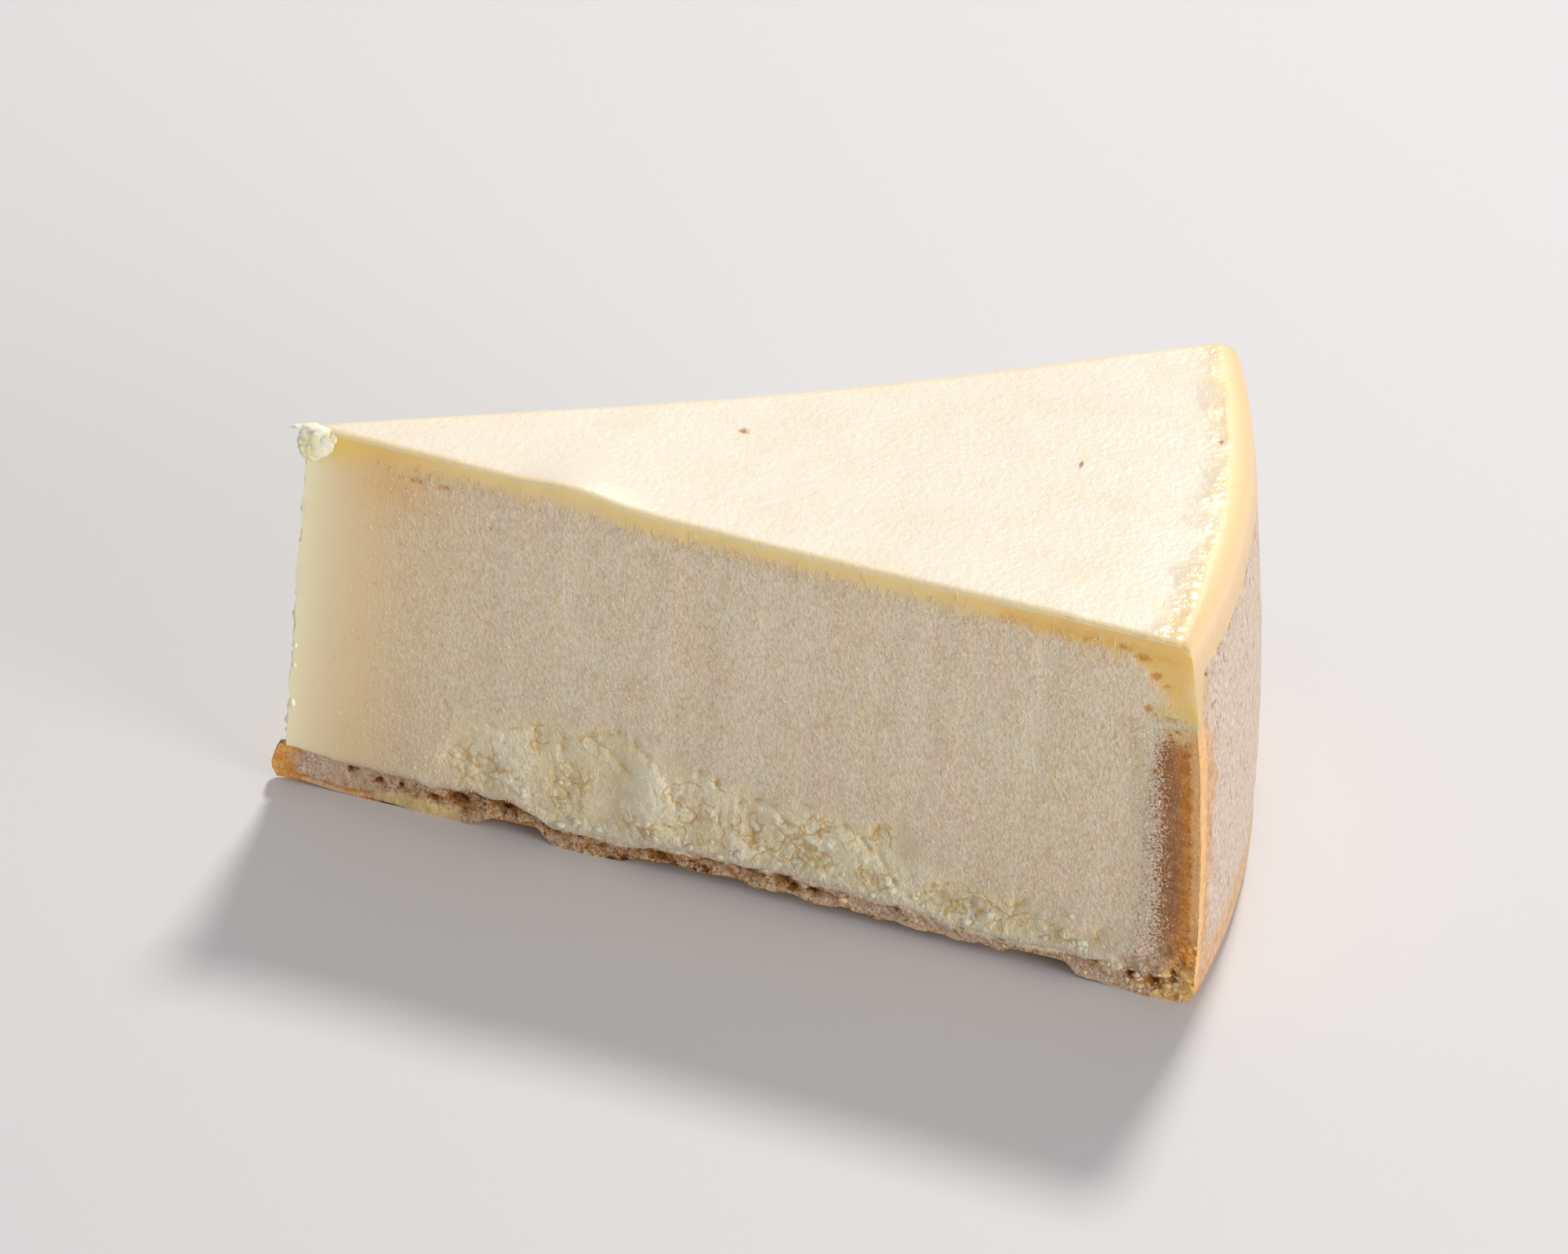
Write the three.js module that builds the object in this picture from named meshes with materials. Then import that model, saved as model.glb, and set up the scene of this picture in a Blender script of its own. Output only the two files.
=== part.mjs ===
// A slice of baked cheesecake: a thick pale filling on a crumb base, with a crumb wall
// up its curved side. Millimetres, +Z up, standing on z = 0.
// While the slice is shaped, the cake's axis is x = 0, y = 0 and the tip is on it. One cut
// face looks to -Y and is called near, and the other looks to +Y and is called far.
// A place is given by along, the distance from the tip, by across, from -1 on the near
// cut face to 1 on the far one, and by height.

import * as THREE from 'three';
import { mergeVertices } from 'three/addons/utils/BufferGeometryUtils.js';

const { clamp, degToRad, lerp, mapLinear, smoothstep } = THREE.MathUtils;

// The whole slice.
const cakeRadius = 127;
const sliceAngle = degToRad(31.5);
const sliceHeight = 56;
const cutLean = degToRad(1.5); // each cut plane leans inwards going up
const tipHalfWidth = 0.7; // the tip is blunt, not a knife edge
const sideSwell = 3.4; // how far the curved side swells low down
const sideDrawInNear = 6.2; // and how far it is drawn in again at the rim
const sideDrawInFar = 5.0;

// The top sags in the middle, and the rim is lower on the near side.
const topSag = 1.4;
const rimLiftNear = -2.2;
const rimLiftFar = 1.2;
const rimRounding = 3;

// The crust is a base slab, a fillet and a wall.
const baseThickness = 4.8;
const baseUnevenness = 0.5;
const tipCrustRise = 0.6;
const tipCrustProud = 1.5;
const filletRadius = 6;
const heelRounding = 2.5; // where the underside turns up into the curved side
const wallThickness = 8.3;
const wallEndThickness = 2;
const wallEndThicknessNear = 5;
const wallHeight = 49;
const wallHeightNear = 42.5;
const wallRaggedness = 0.8;
const wallFullFrom = -0.88; // across the slice: from here on the wall has its full height
const wallTaper = 3.5; // a high power keeps the wall thick until close to its end
const layerGap = 0.4; // clear space between crust and filling

// Upper edge of the base slab along each cut face: distance from the tip and height.
const baseLineNear = [[0, 5.4], [20, 5.0], [32, 5.5], [38, 3.3], [48, 3.3], [56, 4.6], [76, 5.0],
  [88, 4.2], [100, 3.2], [112, 4.0]];
const baseLineFar = [[0, 5.2], [28, 4.4], [48, 5.6], [70, 4.2], [96, 5.0]];

// Where the crust's lower edge is broken away: distance from the tip and height lost.
const chipsNear = [[0, 0.5], [10, 0], [27, 0], [30, 1.7], [36, 1.8], [39, 0], [48, 0], [52, 1.4],
  [101, 1.3], [103, 2.6], [109, 2.6], [111, 0.7], [116, 0]];
const chipsFar = [[0, 0.3], [14, 0], [40, 0], [46, 1.5], [70, 1.2], [74, 0], [92, 0], [98, 1.6], [112, 0]];

// Below this line each cut face is torn into curds: distance from the tip and height.
const tornLineNear = [[20, 7], [24, 17], [36, 20], [54, 20], [62, 17], [85, 16], [90, 11], [119, 8]];
const tornLineFar = [[8, 7], [20, 12], [46, 14], [60, 19], [84, 21], [98, 15], [119, 9]];
const tornDepth = 0.9;
const tornLineWaver = 1.5;
const curdSize = 6.5;
const crumbleDepth = 0.25; // roughness of the cut crust
const crumbleSize = 4;
const tipRaggedness = 0.35;
const tipLumpSize = 4;

// How far these effects reach. A reach across is a share of half the slice's width.
const reliefReach = 0.15;
const edgeLineReach = 0.3;
const tipReach = 3;
const crustTipReach = 4;
const smoothUpTo = 2; // the cut faces are smooth beside the tip
const fullyTornFrom = 14;

// Each use of the noise has its own seed.
const seeds = { base: 3, wall: 8, tornNear: 11, tornFar: 23, tip: 31, crumble: 41 };

// Lattice lines across the slice, closer together beside the two cut faces, and the
// number of lattice cells along each stretch.
const acrossLines = [-1, -0.94, -0.8, -0.4, 0, 0.4, 0.8, 0.94, 1];
const acrossCells = acrossLines.length - 1;
const alongCells = 40;
const baseCells = 36;
const filletCells = 4;
const wallCells = 8;
const bandCells = 4;
const rimCells = 4;
const crustDepthCells = 3;

const halfAngle = sliceAngle / 2;
const quarterTurn = Math.PI / 2;

// A repeatable number between -1 and 1 for one cell of a grid.
function cellValue(i, j, seed) {
  const scrambled = Math.sin(i * 127.1 + j * 311.7 + seed * 74.7) * 43758.5453;
  return (scrambled - Math.floor(scrambled)) * 2 - 1;
}

// Noise between -1 and 1 that runs smoothly from one cell to the next.
function smoothNoise(x, y, seed) {
  const i = Math.floor(x);
  const j = Math.floor(y);
  const u = smoothstep(x - i, 0, 1);
  const v = smoothstep(y - j, 0, 1);
  const low = lerp(cellValue(i, j, seed), cellValue(i + 1, j, seed), u);
  const high = lerp(cellValue(i, j + 1, seed), cellValue(i + 1, j + 1, seed), u);
  return lerp(low, high, v);
}

// Value of a line of points at a distance, level before the first and after the last.
function lineValue(points, distance) {
  const next = points.findIndex(([place]) => distance <= place);
  if (next === 0) {
    return points[0][1];
  }
  if (next < 0) {
    return points[points.length - 1][1];
  }
  const [from, fromValue] = points[next - 1];
  const [to, toValue] = points[next];
  return mapLinear(distance, from, to, fromValue, toValue);
}

// 1 on one cut face, falling to 0 at the reach.
function nearShare(across, reach) {
  return 1 - smoothstep(across + 1, 0, reach);
}

function farShare(across, reach) {
  return 1 - smoothstep(1 - across, 0, reach);
}

// 1 at the tip, falling off smoothly over the reach.
function tipShare(along, reach) {
  return Math.exp(-((along / reach) ** 2));
}

// The two cut planes meet further from the cake's axis going up.
function apexAt(height) {
  return height * Math.tan(cutLean) / Math.sin(halfAngle);
}

function sideRadius(across, height) {
  const rise = height / sliceHeight;
  const drawIn = mapLinear(across, -1, 1, sideDrawInNear, sideDrawInFar);
  return cakeRadius + sideSwell * rise - drawIn * rise * rise;
}

// Distance from the tip to the curved side.
function sliceLength(across, height) {
  const angle = across * halfAngle;
  const apex = apexAt(height);
  const sideways = apex * Math.sin(angle);
  const radius = sideRadius(across, height);
  return Math.sqrt(radius * radius - sideways * sideways) - apex * Math.cos(angle);
}

function pointAt(along, across, height) {
  const angle = across * halfAngle;
  const width = Math.hypot(along * Math.sin(angle), tipHalfWidth * across);
  const x = apexAt(height) + along * Math.cos(angle);
  return new THREE.Vector3(x, Math.sign(across) * width, height);
}

function topHeight(along, across) {
  const share = clamp(along / cakeRadius, 0, 1);
  const rimLift = mapLinear(across, -1, 1, rimLiftNear, rimLiftFar);
  return sliceHeight + rimLift * share ** 3 - topSag * Math.sin(Math.PI * share) ** 2;
}

// The surface where crust and filling meet: base slab, fillet, then wall.
function baseTop(along, across) {
  const near = nearShare(across, edgeLineReach);
  const far = farShare(across, edgeLineReach);
  const inside = baseThickness + baseUnevenness * smoothNoise(along / 12, across * 2, seeds.base);
  const edges = lineValue(baseLineNear, along) * near + lineValue(baseLineFar, along) * far;
  return inside * (1 - near - far) + edges + tipCrustRise * tipShare(along, tipReach);
}

function wallTop(across) {
  const inside = smoothstep(across, -1, wallFullFrom);
  const ragged = wallRaggedness * smoothNoise(across * 6, 0, seeds.wall);
  return lerp(wallHeightNear, wallHeight + ragged, inside);
}

function filletCentre(across) {
  const filletStart = cakeRadius - wallThickness - filletRadius;
  const height = baseTop(filletStart, across) + filletRadius;
  return { along: sliceLength(across, height) - wallThickness - filletRadius, height };
}

// A point of the fillet or of the wall's inner face, moved clear by the inset.
function filletPoint(across, share, inset) {
  const centre = filletCentre(across);
  const radius = filletRadius - inset;
  const turn = share * quarterTurn;
  return {
    along: centre.along + radius * Math.sin(turn),
    height: centre.height - radius * Math.cos(turn),
  };
}

function wallPoint(across, share, inset) {
  const bottom = filletCentre(across).height;
  const top = wallTop(across);
  const height = lerp(bottom, top + inset, share);
  const rise = clamp((height - bottom) / (top - bottom), 0, 1);
  const end = lerp(wallEndThickness, wallEndThicknessNear, nearShare(across, edgeLineReach));
  const thickness = end + (wallThickness - end) * (1 - rise ** wallTaper);
  return { along: sliceLength(across, height) - thickness - inset, height };
}

// Moves a point on either cut face towards the inside of the slice.
function pressIn(point, across, nearDepth, farDepth) {
  point.y += nearDepth * nearShare(across, reliefReach) - farDepth * farShare(across, reliefReach);
}

// A closed block of lattice cells, with each lattice point put in its place.
function latticeGeometry(cells, place) {
  const block = new THREE.BoxGeometry(1, 1, 1, ...cells);
  block.deleteAttribute('normal');
  block.deleteAttribute('uv');
  const geometry = mergeVertices(block);
  const position = geometry.getAttribute('position');
  for (let n = 0; n < position.count; n += 1) {
    const i = Math.round((position.getX(n) + 0.5) * cells[0]);
    const j = Math.round((position.getY(n) + 0.5) * cells[1]);
    const k = Math.round((position.getZ(n) + 0.5) * cells[2]);
    const point = place(i, j, k);
    position.setXYZ(n, point.x, point.y, point.z);
  }
  geometry.computeVertexNormals();
  return geometry;
}

// The filling in one upright section: its back follows the fillet and the wall, steps out
// over the wall's end and goes on up the side to the rounded rim.
const backCells = filletCells + wallCells + bandCells + rimCells;

function fillingBack(step, across) {
  if (step <= filletCells) {
    return filletPoint(across, step / filletCells, layerGap);
  }
  const wallStep = step - filletCells;
  if (wallStep < wallCells) {
    return wallPoint(across, wallStep / (wallCells - 1), layerGap);
  }
  const ledge = wallTop(across) + layerGap;
  const rim = topHeight(sliceLength(across, sliceHeight), across);
  const bandStep = wallStep - wallCells;
  if (bandStep <= bandCells) {
    const height = lerp(ledge, rim - rimRounding, bandStep / bandCells);
    return { along: sliceLength(across, height), height };
  }
  const turn = (bandStep - bandCells) / rimCells * quarterTurn;
  const height = rim - rimRounding * (1 - Math.sin(turn));
  return { along: sliceLength(across, height) - rimRounding * (1 - Math.cos(turn)), height };
}

function fillingBottom(share, across) {
  const along = filletCentre(across).along * share;
  return { along, height: baseTop(along, across) + layerGap };
}

function fillingTop(share, across) {
  const along = fillingBack(backCells, across).along * share;
  return { along, height: topHeight(along, across) };
}

// Blends the four edges of the section into a point inside it.
function fillingSection(share, step, across) {
  const rise = step / backCells;
  const bottom = fillingBottom(share, across);
  const top = fillingTop(share, across);
  const back = fillingBack(step, across);
  const lowTip = fillingBottom(0, across);
  const highTip = fillingTop(0, across);
  const lowBack = fillingBack(0, across);
  const highBack = fillingBack(backCells, across);
  const blend = (name) => {
    const upright = lerp(bottom[name], top[name], rise);
    const straightTip = lerp(lowTip[name], highTip[name], rise);
    const straightBack = lerp(lowBack[name], highBack[name], rise);
    return upright + lerp(straightTip, back[name], share) - lerp(straightTip, straightBack, share);
  };
  return { along: blend('along'), height: blend('height') };
}

// Depth of the torn curds at one point of a cut face.
function tornRelief(along, height, tornLine, seed) {
  const line = lineValue(tornLine, along) + tornLineWaver * smoothNoise(along / 5, 0, seed + 1);
  const start = tornLine[0][0];
  const inTear = smoothstep(line - height, -1.5, 2.5) * smoothstep(along, start - 3, start + 3);
  const curds = smoothNoise(along / curdSize, height / curdSize, seed);
  return inTear * tornDepth * (0.55 + 0.75 * curds) * smoothstep(along, smoothUpTo, fullyTornFrom);
}

function fillingPoint(i, j, k) {
  const across = acrossLines[j];
  const { along, height } = fillingSection(i / alongCells, k, across);
  const point = pointAt(along, across, height);
  const nearDepth = tornRelief(along, height, tornLineNear, seeds.tornNear);
  const farDepth = tornRelief(along, height, tornLineFar, seeds.tornFar);
  pressIn(point, across, nearDepth, farDepth);
  const ragged = 1 + smoothNoise(height / tipLumpSize, across, seeds.tip);
  point.x += tipRaggedness * ragged * tipShare(along, tipReach);
  return point;
}

function makeFilling() {
  const geometry = latticeGeometry([alongCells, acrossCells, backCells], fillingPoint);
  const bakedCream = new THREE.MeshStandardMaterial({ color: '#f3e6c8', roughness: 0.6, metalness: 0 });
  const filling = new THREE.Mesh(geometry, bakedCream);
  filling.name = 'filling';
  return filling;
}

// The crust in one upright section, from the tip to the wall's end: outside it is the
// underside and the curved side, and inside it is where the filling lies.
const crustCells = baseCells + filletCells + wallCells;

function crustOutside(step, across) {
  if (step <= baseCells) {
    return { along: (sliceLength(across, 0) - heelRounding) * step / baseCells, height: 0 };
  }
  const heelStep = step - baseCells;
  if (heelStep <= filletCells) {
    const turn = heelStep / filletCells * quarterTurn;
    const height = heelRounding * (1 - Math.cos(turn));
    return { along: sliceLength(across, height) - heelRounding * (1 - Math.sin(turn)), height };
  }
  const height = lerp(heelRounding, wallTop(across), (heelStep - filletCells) / wallCells);
  return { along: sliceLength(across, height), height };
}

function crustInside(step, across) {
  if (step <= baseCells) {
    const along = filletCentre(across).along * step / baseCells;
    return { along, height: baseTop(along, across) };
  }
  const filletStep = step - baseCells;
  if (filletStep <= filletCells) {
    return filletPoint(across, filletStep / filletCells, 0);
  }
  return wallPoint(across, (filletStep - filletCells) / wallCells, 0);
}

// Height lost where the lower edge of a cut face is broken away.
function chipHeight(along, across) {
  const near = lineValue(chipsNear, along) * nearShare(across, reliefReach);
  const far = lineValue(chipsFar, along) * farShare(across, reliefReach);
  return near + far;
}

function crustPoint(i, j, k) {
  const across = acrossLines[j];
  const inward = k / crustDepthCells;
  const outside = crustOutside(i, across);
  const inside = crustInside(i, across);
  const along = lerp(outside.along, inside.along, inward);
  const height = lerp(outside.height, inside.height, inward);
  const lowness = 1 - smoothstep(height, 0, baseThickness);
  const lift = chipHeight(along, across) * lowness * (1 - inward) ** 2;
  const point = pointAt(along, across, height + lift);
  const roundEnd = Math.sin(Math.PI * lerp(0.15, 0.85, inward));
  point.x -= tipCrustProud * roundEnd * tipShare(along, crustTipReach);
  const crumbs = 1 + smoothNoise(along / crumbleSize, height / crumbleSize, seeds.crumble);
  const depth = crumbleDepth * crumbs * smoothstep(along, smoothUpTo, fullyTornFrom);
  pressIn(point, across, depth, depth);
  return point;
}

function makeCrust() {
  const geometry = latticeGeometry([crustCells, acrossCells, crustDepthCells], crustPoint);
  const bakedCrumb = new THREE.MeshStandardMaterial({ color: '#b98a5c', roughness: 0.9, metalness: 0 });
  const crust = new THREE.Mesh(geometry, bakedCrumb);
  crust.name = 'crust';
  return crust;
}

const group = new THREE.Group();
group.add(makeFilling(), makeCrust());

// The origin is the middle of the underside of the slice's own box.
const box = new THREE.Box3().setFromObject(group);
const middle = box.getCenter(new THREE.Vector3());
group.position.set(-middle.x, -middle.y, -box.min.z);

export default group;
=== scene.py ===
import math

import bmesh
import bpy
import numpy as np
from mathutils import Matrix, Vector


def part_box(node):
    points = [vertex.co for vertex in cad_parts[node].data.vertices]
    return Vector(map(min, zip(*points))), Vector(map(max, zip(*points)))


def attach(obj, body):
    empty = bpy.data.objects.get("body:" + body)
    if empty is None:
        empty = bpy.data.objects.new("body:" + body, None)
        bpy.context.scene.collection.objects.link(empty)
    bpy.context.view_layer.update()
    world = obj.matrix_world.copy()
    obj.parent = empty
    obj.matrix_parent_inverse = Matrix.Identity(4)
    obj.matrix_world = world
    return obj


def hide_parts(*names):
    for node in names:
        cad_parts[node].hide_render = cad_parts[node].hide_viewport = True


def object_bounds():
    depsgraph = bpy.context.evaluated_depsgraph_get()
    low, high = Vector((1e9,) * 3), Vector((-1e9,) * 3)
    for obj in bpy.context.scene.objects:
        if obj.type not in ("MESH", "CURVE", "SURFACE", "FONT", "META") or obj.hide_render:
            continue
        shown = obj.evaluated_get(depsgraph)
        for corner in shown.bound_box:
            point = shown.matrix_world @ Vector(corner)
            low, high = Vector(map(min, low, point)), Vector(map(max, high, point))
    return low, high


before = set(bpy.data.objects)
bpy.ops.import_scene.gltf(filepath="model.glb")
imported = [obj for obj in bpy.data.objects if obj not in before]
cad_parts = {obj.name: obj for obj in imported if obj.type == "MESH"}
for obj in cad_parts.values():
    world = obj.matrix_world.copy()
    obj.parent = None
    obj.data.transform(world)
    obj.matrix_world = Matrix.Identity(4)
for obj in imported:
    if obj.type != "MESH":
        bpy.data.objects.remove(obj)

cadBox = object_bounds()
print("packed model loaded")

# millimetres throughout, turned to metres when a mesh is made
metresPerMm = 0.001

# the slice's driving sizes, as in the solids
sliceShape = dict(
    cakeRadius=127.0,
    halfAngle=math.radians(31.5 / 2),
    height=56.0,
    cutLean=math.radians(1.5),
    tipHalfWidth=0.7,
    sideSwell=3.4,
    sideDrawInNear=6.2,
    sideDrawInFar=5.0,
    topSag=1.4,
    rimLiftNear=-2.2,
    rimLiftFar=1.2,
    rimRounding=3.0,
    baseThickness=4.8,
    tipCrustRise=0.6,
    filletRadius=6.0,
    heelRounding=2.5,
    wallThickness=8.3,
    wallEndThickness=2.0,
    wallEndThicknessNear=5.0,
    wallHeight=49.0,
    wallHeightNear=42.5,
    wallFullFrom=-0.88,
    wallTaper=3.5,
    faceReach=0.3,
)
s = sliceShape

# lines along the two cut faces: distance from the tip, height
baseLineNear = [(0, 5.4), (20, 5.0), (32, 5.5), (38, 3.3), (48, 3.3), (56, 4.6), (76, 5.0),
                (88, 4.2), (100, 3.2), (112, 4.0)]
baseLineFar = [(0, 5.2), (28, 4.4), (48, 5.6), (70, 4.2), (96, 5.0)]
chipsNear = [(0, 0.5), (10, 0), (27, 0), (30, 1.7), (36, 1.8), (39, 0), (48, 0), (52, 1.4),
             (101, 1.3), (103, 2.6), (109, 2.6), (111, 0.7), (116, 0)]
chipsFar = [(0, 0.3), (14, 0), (40, 0), (46, 1.5), (70, 1.2), (74, 0), (92, 0), (98, 1.6), (112, 0)]
tornLineNear = [(20, 7), (24, 17), (36, 20), (54, 20), (62, 17), (85, 16), (90, 11), (119, 8)]
tornLineFar = [(8, 7), (20, 12), (46, 14), (60, 19), (84, 21), (98, 15), (119, 9)]


# ---- noise

def cellValue(i, j, seed):
    scrambled = np.sin(i * 127.1 + j * 311.7 + seed * 74.7) * 43758.5453
    return (scrambled - np.floor(scrambled)) * 2 - 1


def smoothstep(x, low, high):
    t = np.clip((x - low) / (high - low), 0, 1)
    return t * t * (3 - 2 * t)


def mix(a, b, share):
    return a + (b - a) * share


# a soft hump of height 1, by how many widths away it is in each direction
def hump(*offsets):
    return np.exp(-sum(x ** 2 for x in offsets))


def smoothNoise(x, y, seed):
    i, j = np.floor(x), np.floor(y)
    u, v = smoothstep(x - i, 0, 1), smoothstep(y - j, 0, 1)
    low = mix(cellValue(i, j, seed), cellValue(i + 1, j, seed), u)
    high = mix(cellValue(i, j + 1, seed), cellValue(i + 1, j + 1, seed), u)
    return mix(low, high, v)


def roughNoise(x, y, seed, octaves=4):
    total, weight = 0, 0.5
    for n in range(octaves):
        total = total + weight * smoothNoise(x * 2 ** n, y * 2 ** n, seed + 7 * n)
        weight /= 2
    return total


# distance to the nearest and second nearest of scattered points, and the nearest one's own number
def scatteredCells(x, y, seed):
    i, j = np.floor(x), np.floor(y)
    nearest = np.full(np.shape(x), 9.0)
    second = nearest.copy()
    own = np.zeros(np.shape(x))
    for di in (-1, 0, 1):
        for dj in (-1, 0, 1):
            px = i + di + 0.5 + 0.42 * cellValue(i + di, j + dj, seed)
            py = j + dj + 0.5 + 0.42 * cellValue(i + di, j + dj, seed + 1)
            gap = np.hypot(px - x, py - y)
            closer = gap < nearest
            second = np.where(closer, nearest, np.minimum(second, gap))
            own = np.where(closer, cellValue(i + di, j + dj, seed + 2), own)
            nearest = np.where(closer, gap, nearest)
    return nearest, second, own


def lineValue(points, distance):
    places, values = zip(*points)
    return np.interp(distance, places, values)


# ---- the slice's form

def apexAt(height):
    return height * math.tan(s["cutLean"]) / math.sin(s["halfAngle"])


def sideRadius(across, height):
    rise = height / s["height"]
    drawIn = mix(s["sideDrawInNear"], s["sideDrawInFar"], (across + 1) / 2)
    return s["cakeRadius"] + s["sideSwell"] * rise - drawIn * rise * rise


def sliceLength(across, height):
    angle = across * s["halfAngle"]
    apex = apexAt(height)
    return np.sqrt(sideRadius(across, height) ** 2 - (apex * np.sin(angle)) ** 2) - apex * np.cos(angle)


def pointAt(along, across, height):
    angle = across * s["halfAngle"]
    width = np.hypot(along * np.sin(angle), s["tipHalfWidth"] * across)
    return np.stack([apexAt(height) + along * np.cos(angle), np.sign(across) * width, height], -1)


def topHeight(along, across):
    share = np.clip(along / s["cakeRadius"], 0, 1)
    rimLift = mix(s["rimLiftNear"], s["rimLiftFar"], (across + 1) / 2)
    return s["height"] + rimLift * share ** 3 - s["topSag"] * np.sin(np.pi * share) ** 2


# how much a place belongs to the near cut, to the far one, or to the tip
def nearShare(across, reach):
    return 1 - smoothstep(across + 1, 0, reach)


def farShare(across, reach):
    return 1 - smoothstep(1 - across, 0, reach)


def tipShare(along, reach):
    return hump(along / reach)


def baseTop(along, across):
    near, far = nearShare(across, s["faceReach"]), farShare(across, s["faceReach"])
    inside = s["baseThickness"] + 0.5 * smoothNoise(along / 12, across * 2, 3)
    edges = lineValue(baseLineNear, along) * near + lineValue(baseLineFar, along) * far
    crumbly = 0.55 * roughNoise(along / 3, across * 3, 51) * (near + far) * smoothstep(along, 3, 20)
    return inside * (1 - near - far) + edges + crumbly + s["tipCrustRise"] * tipShare(along, 3)


def wallTop(across):
    inside = smoothstep(across, -1, s["wallFullFrom"])
    ragged = 0.8 * smoothNoise(across * 6, 0 * across, 8) + 0.5 * roughNoise(across * 30, 0 * across, 9)
    return mix(s["wallHeightNear"], s["wallHeight"] + ragged, inside)


def filletCentre(across):
    start = s["cakeRadius"] - s["wallThickness"] - s["filletRadius"]
    height = baseTop(start + 0 * across, across) + s["filletRadius"]
    return sliceLength(across, height) - s["wallThickness"] - s["filletRadius"], height


def filletPoint(across, share, inset):
    along, height = filletCentre(across)
    radius = s["filletRadius"] - inset
    turn = share * np.pi / 2
    return along + radius * np.sin(turn), height - radius * np.cos(turn)


def wallPoint(across, share, inset):
    bottom = filletCentre(across)[1]
    top = wallTop(across)
    height = mix(bottom, top + inset, share)
    rise = np.clip((height - bottom) / (top - bottom), 0, 1)
    end = mix(s["wallEndThickness"], s["wallEndThicknessNear"], nearShare(across, s["faceReach"]))
    thickness = end + (s["wallThickness"] - end) * (1 - rise ** s["wallTaper"])
    return sliceLength(across, height) - thickness - inset, height


# ---- mesh making

# from the cake's axis to the middle of the slice's box
middleX = (s["cakeRadius"] + s["sideSwell"] ** 2 / (2 * (s["sideDrawInNear"] + s["sideDrawInFar"]))
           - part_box("crust")[1][0] / metresPerMm)


def toFrame(points):
    moved = (points - np.array([middleX, 0, 0])) * metresPerMm
    return np.clip(moved, np.array(cadBox[0]), np.array(cadBox[1]))


# the outside of a block of lattice cells, its corners at their lattice places, with some zones cut finer
def latticeMesh(name, cells, zones):
    number = np.full([n + 1 for n in cells], -1)
    places = np.indices(number.shape)
    outside = np.zeros(number.shape, bool)
    for axis, count in enumerate(cells):
        outside |= (places[axis] == 0) | (places[axis] == count)
    number[outside] = np.arange(outside.sum())
    faces = []
    for axis in range(3):
        for end in (0, -1):
            sheet = np.take(number, end, axis)
            quads = np.stack([sheet[:-1, :-1], sheet[1:, :-1], sheet[1:, 1:], sheet[:-1, 1:]], -1)
            quads = quads.reshape(-1, 4)
            outwards = (end == 0) == (axis == 1)
            faces.append(quads if outwards else quads[:, ::-1])
    mesh = bpy.data.meshes.new(name)
    mesh.from_pydata(places[:, outside].T.tolist(), [], np.concatenate(faces).tolist())
    shell = bmesh.new()
    shell.from_mesh(mesh)
    for inZone, cuts in zones:
        places = np.array([v.co for v in shell.verts])
        inside = inZone(*places.T)
        shell.verts.index_update()
        edges = [e for e in shell.edges if inside[e.verts[0].index] and inside[e.verts[1].index]]
        bmesh.ops.subdivide_edges(shell, edges=edges, cuts=cuts, use_grid_fill=True)
    shell.to_mesh(mesh)
    shell.free()
    return mesh, latticePlaces(mesh)


def latticePlaces(mesh):
    places = np.zeros(len(mesh.vertices) * 3)
    mesh.vertices.foreach_get("co", places)
    return places.reshape(-1, 3).T


# each face's lowest lattice place
def faceLows(mesh, places):
    corners = np.zeros(len(mesh.loops), int)
    starts = np.zeros(len(mesh.polygons), int)
    mesh.loops.foreach_get("vertex_index", corners)
    mesh.polygons.foreach_get("loop_start", starts)
    return [np.minimum.reduceat(p[corners], starts) for p in places]


def finishPiece(mesh, points, materials, faceMaterials, attributes, sharpAngle=60):
    mesh.vertices.foreach_set("co", toFrame(points).ravel())
    for material in materials:
        mesh.materials.append(material)
    mesh.polygons.foreach_set("material_index", faceMaterials)
    for label, values in attributes.items():
        values = np.broadcast_to(values, len(points)).astype(np.float32)
        mesh.attributes.new(label, "FLOAT", "POINT").data.foreach_set("value", values)
    mesh.polygons.foreach_set("use_smooth", [True] * len(mesh.polygons))
    mesh.set_sharp_from_angle(angle=math.radians(sharpAngle))
    mesh.update()
    piece = bpy.data.objects.new(mesh.name, mesh)
    bpy.context.collection.objects.link(piece)
    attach(piece, "root")
    return piece


def pressIn(points, across, nearDepth, farDepth, reach=0.15):
    points[:, 1] += nearDepth * nearShare(across, reach) - farDepth * farShare(across, reach)


# lattice lines across, packed towards the two cut faces
def acrossLines(count, packing):
    even = np.linspace(-1, 1, count + 1)
    return np.sign(even) * (1 - (1 - np.abs(even)) ** packing)


# ---- camera

# the view that the slice is judged from
view = dict(
    lookDown=0.6156302629,
    yaw=-0.1086278651,
    distance=970.52,
    focalPixels=9676.27,
    imageWidth=2000,
    target=(76.2, 0.0, 28.0),
    aimLeft=98.76,
    aimUp=20.96,
)


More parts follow.
